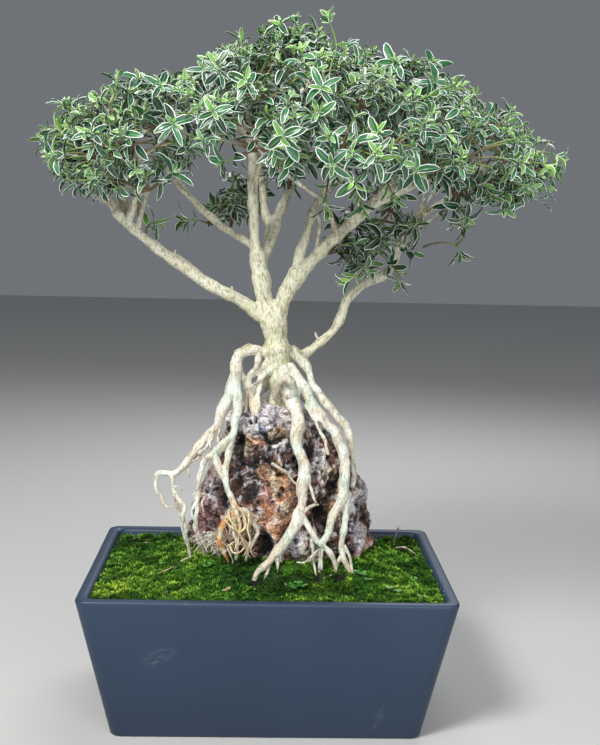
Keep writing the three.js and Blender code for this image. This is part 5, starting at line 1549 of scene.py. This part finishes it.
def leaf_batch(t, a, base, way, face, length, width, bend, fold, wave):
    """Points of many leaves. base is where each stalk ends, way its direction, face the way
    its upper side looks. Along the leaf x = length t and it drops by bend length t^2 / 2;
    its halves rise by fold times the distance from the vein, and ripple by wave."""
    way = unit(way)
    face = unit(face - way * np.sum(face * way, axis=1, keepdims=True))
    side = np.cross(way, face)
    spread = leaf_width(t)
    forth = length[:, None] * (t - 0.12 * (bend[:, None] * t) ** 2 * t)
    aside = a * spread * width[:, None]
    ripple = wave[:, None] * np.sin(9 * t + 5 * wave[:, None] + 1.2 * a) * np.abs(a) * spread
    height = (-0.5 * bend[:, None] * length[:, None] * t ** 2
              + fold[:, None] * np.abs(aside) * (1.25 - 0.5 * np.abs(a)) + ripple)
    points = (base[:, None] + forth[..., None] * way[:, None]
              + aside[..., None] * side[:, None] + height[..., None] * face[:, None])
    return points, np.broadcast_to((1 - np.abs(a)) * spread, aside.shape)


print("points of a leaf", *[len(leaf_plan(*leaf)[0]) for leaf in (FINE_LEAF, PLAIN_LEAF)])

# %% Where the solid sprays hold their leaf stars
STAR_FACES, STAR_TIPS, STAR_REACH = 16, 4, 12


def stars_of(node):
    """Middle, axis and four leaf tips of each star in a spray's solid. The middle is a point
    where sixteen faces meet, and the tips are its four farthest neighbours."""
    mesh = node.data
    corners = values_of(mesh.loops, "vertex_index", len(mesh.loops), np.int32)
    points = values_of(mesh.vertices, "co", len(mesh.vertices) * 3, float).reshape(-1, 3) / MM
    _, first, same = np.unique(np.round(points, 3), axis=0, return_index=True, return_inverse=True)
    faces, points = same.reshape(-1)[corners].reshape(-1, 3), points[first]
    stars = []
    for middle in np.flatnonzero(np.bincount(faces.ravel()) == STAR_FACES):
        fan = faces[(faces == middle).any(axis=1)]
        a, b, c = points[fan[:, 0]], points[fan[:, 1]], points[fan[:, 2]]
        axis = unit(np.cross(b - a, c - a).sum(axis=0))
        around = np.setdiff1d(np.unique(fan), middle)
        away = np.linalg.norm(points[around] - points[middle], axis=1)
        if (away > STAR_REACH).sum() == STAR_TIPS:
            stars.append((points[middle], axis, points[around[away > STAR_REACH]]))
    return stars


print("leaf stars in the first spray", len(stars_of(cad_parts["spray_01"])))

# %% Crossed pairs of leaves
QUARTER = np.pi / 2
PAIR_GAP = 2.0  # below the tip of a shoot, in millimetres
FULL_LEAF = 14.6  # length of a grown leaf on a shoot of vigour 1
ASKEW = (0.35, 0.2, 0.91)  # any direction that no shoot follows


def opened_leaves(base, axis, angle, opened, length, young, droop, rng):
    """Leaves at given bases. Each lies in the plane of its stem's axis and a spoke square to
    it, which is turned by angle, and is opened from the axis by an angle in degrees."""
    side = unit(np.cross(axis, ASKEW))
    other = np.cross(axis, side)
    angle = angle + rng.normal(0, 0.16, len(angle))
    opened = np.radians(opened + rng.normal(0, 10, len(angle)))[:, None]
    spoke = np.cos(angle)[:, None] * side + np.sin(angle)[:, None] * other
    way = np.cos(opened) * axis + np.sin(opened) * spoke
    face = np.sin(opened) * axis - np.cos(opened) * spoke
    way = way - UP * droop * rng.uniform(0, 0.5, (len(angle), 1))
    return base + spoke * 0.7, way, face, length * rng.uniform(0.8, 1.12, len(angle)), young


def crossed_pairs(tip, axis, turn, pairs, vigour, rng, droop=0.0):
    """Leaves of one shoot, from its youngest pair down. Pair k sits k^1.25 times 2 mm below the
    tip, a quarter turn from pair k - 1, and opens 22 + 20 k degrees off the axis, 86 at most."""
    k = np.repeat(np.arange(pairs), 2)
    axis = np.broadcast_to(unit(np.asarray(axis)), (len(k), 3))
    angle = turn + k * QUARTER + np.tile([0.0, np.pi], pairs)
    length = vigour * FULL_LEAF * np.minimum(1, (k + 0.7) / 2.4) ** 0.8
    young = np.clip(1 - k / 2.2, 0, 1) * rng.uniform(0.4, 1.0)
    base = tip - axis * (PAIR_GAP * k ** 1.25)[:, None]
    return opened_leaves(base, axis, angle, np.minimum(22 + 20 * k, 86), length, young, droop, rng)


def star_leaves(star, rng):
    """A star of the solid as a rosette: its four tips become two crossed pairs of leaves, with
    two younger pairs inside them and two older pairs on the shoot below."""
    middle, axis, tips = star
    way = tips - middle
    length = np.linalg.norm(way, axis=1)
    face = axis - unit(way) * (unit(way) @ axis)[:, None]
    side = unit(np.cross(axis, ASKEW))
    turn = np.arctan2(way[0] @ np.cross(axis, side), way[0] @ side)
    inner = crossed_pairs(middle + axis * 2.6, axis, turn + QUARTER / 2, 2, 0.85, rng)
    lower = crossed_pairs(middle + axis * 3.0, axis, turn + QUARTER / 2, 6, 1.0, rng, 0.6)
    outer = (np.repeat([middle], len(tips), axis=0), way, face, length * 0.94, np.zeros(len(tips)))
    oldest = slice(-4, None)
    return [np.concatenate([a, b, c[oldest]]) for a, b, c in zip(outer, inner, lower)]

# %% Slim shoots, and long ones with pairs of leaves along them
STEM_GAP, STEM_RING = 7, 4
START_BARE, END_BARE = 7, 5  # millimetres at both ends of a long shoot without pairs


def slim_shoot(route, thick, thin, seed):
    """A slim stem along a route. Returns the tube and how young each of its points is."""
    rows, along = even_points([(*spot, 1) for spot in route], STEM_GAP)
    share = along / along[-1]
    rows[:, 3] = thick + (thin - thick) * share
    return tube(rows, STEM_RING, seed), np.concatenate([np.repeat(share, STEM_RING), [0, 1]])


def sprig(route, size, gap, droop, rng):
    """A long shoot: its stem, a crossed pair of leaves every gap millimetres, and a small
    rosette at the end. The pairs get smaller towards the end."""
    rows, along = even_points([(*spot, 1) for spot in route], 2)
    spots = np.arange(along[-1] - END_BARE, START_BARE, -gap)
    places = np.stack([np.interp(spots, along, rows[:, k]) for k in range(3)], axis=-1)
    ways = unit(np.gradient(rows[:, :3], axis=0))
    axes = unit(np.stack([np.interp(spots, along, ways[:, k]) for k in range(3)], axis=-1))
    k = np.repeat(np.arange(len(spots)), 2)
    length = size * (0.72 + 0.28 * np.clip(k / 2, 0, 1))
    young = np.clip(0.9 - k * 0.25, 0, 1)
    angle = 0.6 + k * QUARTER + np.tile([0.0, np.pi], len(spots))
    sides = opened_leaves(places[k], axes[k], angle, np.minimum(42 + 12 * k, 74), length, young, droop, rng)
    end = crossed_pairs(rows[-1, :3], ways[-1], 2.2, 3, size / 12.5, rng, droop)
    return [np.concatenate(pair) for pair in zip(sides, end)]

# %% [markdown]
# The solid's stars carry the crown's shape, and more shoots between them make it dense.
# These are drawn at random, so two lines hold them to the crown as the photographer saw it.
# A leaf is carried along its line of sight to the plane y = 0, and there it has to lie below
# the crown's top line, above its foot line, and outside the few gaps where one sees through.
# Leaves in front of the limbs also keep clear of the places where bare wood shows.

# %% The crown's outline from the front, in x and z
CROWN_TOP = np.array([
    (-189,440), (-181,453), (-167,472), (-141,482), (-115,492), (-85,496), (-70,499), (-64,507), (-42,520),
    (-12,530), (4,538), (14,540), (25,533), (43,528), (54,517), (73,523), (111,514), (127,508), (146,498),
    (170,480), (186,471), (206,450), (223,430), (234,424),
])
CROWN_FOOT = np.array([
    (-189,428), (-164,402), (-139,392), (-126,396), (-118,408), (-84,411), (-62,411), (-57,384), (-20,378),
    (-5,398), (27,404), (44,398), (52,340), (95,335), (114,345), (122,398), (178,398), (190,386),
    (214,391), (234,412),
])
# x, z and radius of the gaps in the crown, and of the places where its limbs show
CROWN_GAPS = [(-45,422,13), (-36,436,8), (-58,412,10), (-100,441,7), (-73,455,6), (113,490,5), (164,438,7),
              (153,441,6), (8,398,9), (85,391,7), (96,398,8), (105,402,7), (125,403,6), (132,408,8),
              (141,397,9)]
LIMB_SHOWS = [(-15,385,8), (-16,400,8), (-17,414,7), (-18,429,6), (-20,446,6), (-23,462,6), (74,396,7),
              (83,403,7), (92,410,6), (102,414,6), (111,416,5)]
LOW_CORNER, HIGH_CORNER = np.array(model_box) / MM
BOX_MARGIN = 1
LIMBS_FRONT = -10  # leaves nearer than this y stand in front of the limbs


def within_crown(points):
    """Whether all points lie in the solids' box and, seen from the camera, in the crown."""
    if (points < LOW_CORNER + BOX_MARGIN).any() or (points > HIGH_CORNER - BOX_MARGIN).any():
        return False
    nearer = -CAMERA_PLACE[1] / (points[:, 1:2] - CAMERA_PLACE[1])
    seen = CAMERA_PLACE + (points - CAMERA_PLACE) * nearer
    x, z = seen[:, 0], seen[:, 2]
    if (z > np.interp(x, *CROWN_TOP.T)).any() or (z < np.interp(x, *CROWN_FOOT.T)).any():
        return False
    gaps = CROWN_GAPS + (LIMB_SHOWS if points[0, 1] < LIMBS_FRONT else [])
    return all((np.hypot(x - gap_x, z - gap_z) > reach).all() for gap_x, gap_z, reach in gaps)


print("crown from the front", np.ptp(CROWN_TOP[:, 0]), "mm wide")

# %% Long shoots that stand out of the crown, hang below it or cross in front of it
# points of the shoot, leaf length, gap between pairs, and how far the leaves droop
SPRIGS = [
    ([(48,-66,428), (42,-72,446), (36,-74,462), (37,-70,494), (41,-66,506), (34,-62,528)], 12, 17, 0.1),
    ([(36,-74,464), (26,-78,480), (22,-80,488)], 10, 9, 0.1),
    ([(14,-20,500), (10,-14,520), (14,-12,535)], 10, 8, 0.0),
    ([(-24,-30,488), (-26,-24,506), (-28,-18,520)], 10, 8, 0.0),
    ([(165,-20,430), (190,-24,438), (203,-26,440), (213,-26,435)], 13, 10, 0.4),
    ([(146,-38,424), (161,-42,421), (169,-44,427), (174,-45,434)], 16, 10, 0.2),
    ([(144,-36,420), (152,-42,415), (157,-45,407)], 15, 9, 1.0),
    ([(156,-38,419), (166,-44,413), (171,-46,407)], 14, 9, 1.0),
    ([(166,-34,421), (179,-38,415), (187,-38,409)], 15, 9, 0.8),
    ([(178,-28,430), (193,-28,432), (204,-27,430)], 14, 10, 0.8),
    ([(118,20,366), (130,16,370), (143,12,368), (147,10,360)], 14, 30, 1.2),
    ([(143,12,368), (149,10,376), (147,8,386)], 12, 30, 0.2),
    ([(56,-60,418), (60,-70,406), (62,-74,394)], 14, 8, 0.9),
    ([(38,-56,416), (36,-66,404), (37,-68,392)], 13, 8, 0.9),
    ([(76,-60,424), (80,-70,412), (84,-74,402)], 14, 8, 0.8),
    ([(-35,40,372), (-33,42,400), (-34,40,418)], 13, 10, 0.1),
    ([(-48,6,380), (-60,-2,384), (-70,-6,383)], 16, 7, 0.2),
    ([(-99,0,372), (-96,-6,380), (-88,-10,381)], 15, 7, 0.2),
    ([(-24,60,384), (-14,62,398), (-16,60,408)], 13, 8, 0.2),
    ([(-141,-16,433), (-154,-20,441), (-163,-14,450)], 16, 8, 0.2),
    ([(-150,-10,448), (-156,-10,460), (-158,-12,468)], 12, 7, 0.0),
    ([(-141,-16,412), (-152,-18,416), (-160,-16,424)], 12, 8, 0.2),
    ([(-126,-40,440), (-124,-42,453), (-117,-38,476), (-116,-36,486)], 13, 9, 0.2),
    ([(-94,-20,408), (-84,-26,420), (-78,-30,428)], 15, 8, 0.3),
    ([(66,-40,350), (58,-44,344), (52,-44,340)], 13, 6, 0.3),
    ([(92,0,352), (98,-6,342), (96,-8,337)], 12, 6, 0.4),
]

# Bunches of shoots between the sprays: middle, where they spring from, and how many
BUNCHES = [
    ((-38,-24,500), (-31,-8,487), 9), ((-26,-14,510), (-31,-8,487), 9),
    ((-4,-20,518), (-20,-10,470), 8), ((-150,-24,446), (-134,-6,430), 6),
    ((56,-20,512), (54,10,470), 6), ((30,-60,500), (24,-30,486), 7),
    ((-10,60,396), (-8,40,390), 6), ((-36,60,390), (-35,24,376), 5),
    ((20,70,430), (10,50,405), 6), ((128,-40,470), (124,-12,452), 6),
    ((160,-30,452), (132,-6,450), 6), ((10,-50,430), (-10,-50,430), 5),
]
print("long shoots", len(SPRIGS), "and bunches", len(BUNCHES))

# %% One random shoot
def random_shoot(tip, root, outward, rng):
    """A rosette at a tip, which looks outwards and up, and its stem from a root."""
    axis = unit(unit(tip - root) + outward * 0.5 + UP * 0.5 + rng.normal(0, 0.3, 3))
    batch = crossed_pairs(tip, axis, rng.uniform(0, 6.3), int(rng.integers(4, 6)),
                          rng.uniform(0.66, 1.05), rng, 0.35)
    if not within_crown(batch[0] + unit(batch[1]) * batch[3][:, None] * 0.8):
        return None, None
    bowed = (root + tip) / 2 + UP * 0.06 * np.linalg.norm(tip - root)
    return batch, slim_shoot([root, bowed, tip], 0.9, 0.5, int(rng.integers(1000)))

# %% Dress one spray
CROWN_HALVES = np.array([190, 115, 88])
SHADE_START, SHADE_RISE = 0.92, 1.9
SPRAY_SPREAD, BUNCH_SPREAD = (16, 16, 10), (12, 14, 9)
OUTER_SHOOTS, INNER_SHOOTS = 9, 5
TRIES = 5  # for each shoot that is wanted


def depth_in_crown(points):
    """0 at the crown's skin to 1 well inside it, where leaves and stems are darkened as painted shade."""
    share = np.linalg.norm((points - CROWN_MIDDLE) / CROWN_HALVES, axis=1)
    return np.clip((SHADE_START - share) * SHADE_RISE, 0, 1)


def nearest_spray(spot):
    """Number of the spray that lies nearest to a spot."""
    return np.argmin(np.linalg.norm(np.array(SPRAYS) - spot, axis=1))


def dressed_spray(number, node, place, twig):
    """Everything one spray shows: a rosette at each star of the solid, more rosettes in the space
    round them, and the slim stems which carry them. Returns leaves, stems and how many stars."""
    rng = np.random.default_rng(1000 + number)
    place = np.array(place, float)
    seat = np.array(twig[-1][:3])
    leaves, stems = [], []
    stars = stars_of(node)
    for middle, axis, tips in stars:
        leaves.append(star_leaves((middle, axis, tips), rng))
        stems.append(slim_shoot([seat, middle + axis * 2.5], 1.1, 0.6, number))
    wanted = [(place, seat, OUTER_SHOOTS, (-9, 13), SPRAY_SPREAD),
              (place, np.array(twig[1][:3]), INNER_SHOOTS, (-46, -12), SPRAY_SPREAD)]
    wanted += [(np.array(spot, float), np.array(root, float), count, (-6, 6), BUNCH_SPREAD)
               for spot, root, count in BUNCHES if nearest_spray(spot) == number]
    for middle, root, count, depth, spread in wanted:
        outward = unit(middle - CROWN_MIDDLE)
        made = tries = 0
        while made < count and tries < TRIES * count:
            tries += 1
            tip = middle + outward * rng.uniform(*depth) + rng.normal(0, 1, 3) * spread
            batch, stem = random_shoot(tip, root, outward, rng)
            if batch is not None:
                made += 1
                leaves.append(batch)
                stems.append(stem)
    for route, size, gap, droop in SPRIGS:
        if nearest_spray(route[0]) == number:
            leaves.append(sprig(np.array(route, float), size, gap, droop, rng))
            stems.append(slim_shoot(route, 0.95, 0.5, number))
    return [np.concatenate(part) for part in zip(*leaves)], stems, len(stars)


shown = depth_in_crown(np.array(SPRAYS, float))
print("sprays at the crown's skin", int((shown == 0).sum()), "of", len(SPRAYS))

# %% [markdown]
# The cream edge follows the leaf, so its finish reads the leaf's own values: how near a
# point is to the edge, how young the leaf is, and a tone drawn for each leaf. Young leaves
# at the shoot's tip are yellow green, and the old ones are deep green and glossy. Leaves and
# stems deep inside the crown are darkened further as painted shade.

# %% Finish of leaves and young stems
leaf_finish = Finish("cream-edged leaf", Roughness=0.32, Specular_IOR_Level=0.6)
rim, young, deep, tone = (leaf_finish.mark(name) for name in ("rim", "young", "deep", "tone"))
layout = leaf_finish.node("ShaderNodeUVMap", {"uv_map": "UVMap"})
across = (leaf_finish.axes(layout)[0] - 0.5).maths("ABSOLUTE")
edge = 1 - (rim + leaf_finish.grain(5, 2) * 0.12).above(0.2, 0.05)
vein = (1 - across.above(0.02, 0.03)) * 0.4
# deep: leaves and their cream edges inside the crown are darkened as painted shade
blade = leaf_finish.coats(
    leaf_finish.blend(tone, paint("0d3126"), paint("37764d")),
    (young, "94cf52"), (deep * 0.85, "0a2018"), (vein, "a5cf86"))
cream = leaf_finish.coats(
    leaf_finish.blend(young, paint("fbfffa"), paint("ecf8cc")), (deep * 0.5, "8fae8a"))
leaf_finish.feed(Base_Color=leaf_finish.blend(edge, blade, cream))
leaf_finish.bump(leaf_finish.grain(1.2, 2) + 2 * across, 0.12, 0.4)

stem_finish = Finish("young stem", Roughness=0.6)
# stems deep in the crown are darkened as painted shade
stem_finish.feed(Base_Color=stem_finish.coats(
    stem_finish.blend(stem_finish.grain(9, 2), paint("76664a"), paint("a5936f")),
    (stem_finish.mark("deep") * 0.8, "3b3020"), (stem_finish.mark("young").above(0.35, 0.5), "6f9a46")))
print("leaf nodes", len(leaf_finish.tree.nodes), "and stem nodes", len(stem_finish.tree.nodes))

# %% Dress each spray
FRONT_SPRAYS = -15  # sprays nearer than this y get the fine leaf
leaf_count = star_count = foliage_triangles = 0
for number, (place, twig) in enumerate(zip(SPRAYS, twigs)):
    node_name = f"spray_{number + 1:02d}"
    (base, way, face, length, youth), stems, found = dressed_spray(
        number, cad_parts[node_name], place, twig)
    t, a, leaf_quads, leaf_fans = leaf_plan(*(FINE_LEAF if place[1] < FRONT_SPRAYS else PLAIN_LEAF))
    rng = np.random.default_rng(5000 + number)
    count = len(base)
    face = face + rng.normal(0, 0.27, face.shape)
    width = length * rng.uniform(0.125, 0.225, count)
    bend, fold, wave = (rng.uniform(*limits, count) for limits in [(0.1, 1.3), (0.2, 0.95), (0.1, 0.7)])
    points, rims = leaf_batch(t, a, base, way, face, length, width, bend, fold, wave)
    tones = rng.uniform(0, 1, count)
    stem_points, (stem_quads, stem_fans) = gathered([stem for stem, _ in stems])
    stem_youth = np.concatenate([share for _, share in stems])
    starts = np.arange(count)[:, None, None] * len(t)
    quads = np.concatenate([(leaf_quads + starts).reshape(-1, 4), stem_quads + count * len(t)])
    fans = np.concatenate([(leaf_fans + starts).reshape(-1, 3), stem_fans + count * len(t)])
    is_stem = np.repeat([0, 1, 0, 1], [
        count * len(leaf_quads), len(stem_quads), count * len(leaf_fans), len(stem_fans)])
    layout = np.tile(np.stack([0.5 + 0.5 * a, t], axis=-1), (count, 1))
    marks = {
        "rim": (rims.ravel(), stem_youth * 0),
        "young": (np.repeat(youth, len(t)), stem_youth),
        "tone": (np.repeat(tones, len(t)), stem_youth * 0),
        # deep says how far inside the crown a point is, for its painted shade
        "deep": (np.repeat(depth_in_crown(base), len(t)), depth_in_crown(stem_points)),
    }
    piece = add_mesh(f"leafy_{node_name}", np.concatenate([points.reshape(-1, 3), stem_points]),
                     [quads, fans], [leaf_finish.material, stem_finish.material],
                     {mark: np.concatenate(pair) for mark, pair in marks.items()},
                     np.concatenate([layout, np.zeros((len(stem_points), 2))]), is_stem)
    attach(piece, "root")
    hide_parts(node_name)
    leaf_count += count
    star_count += found
    foliage_triangles += triangles_in(piece)
print("stars", star_count, "leaves", leaf_count, "triangles", foliage_triangles)

# %% [markdown]
# ## The end
#
# The box of the solids is printed at the end.

# %% Print the box of the solids
print("box of the solids", np.round(model_box, 4).tolist())
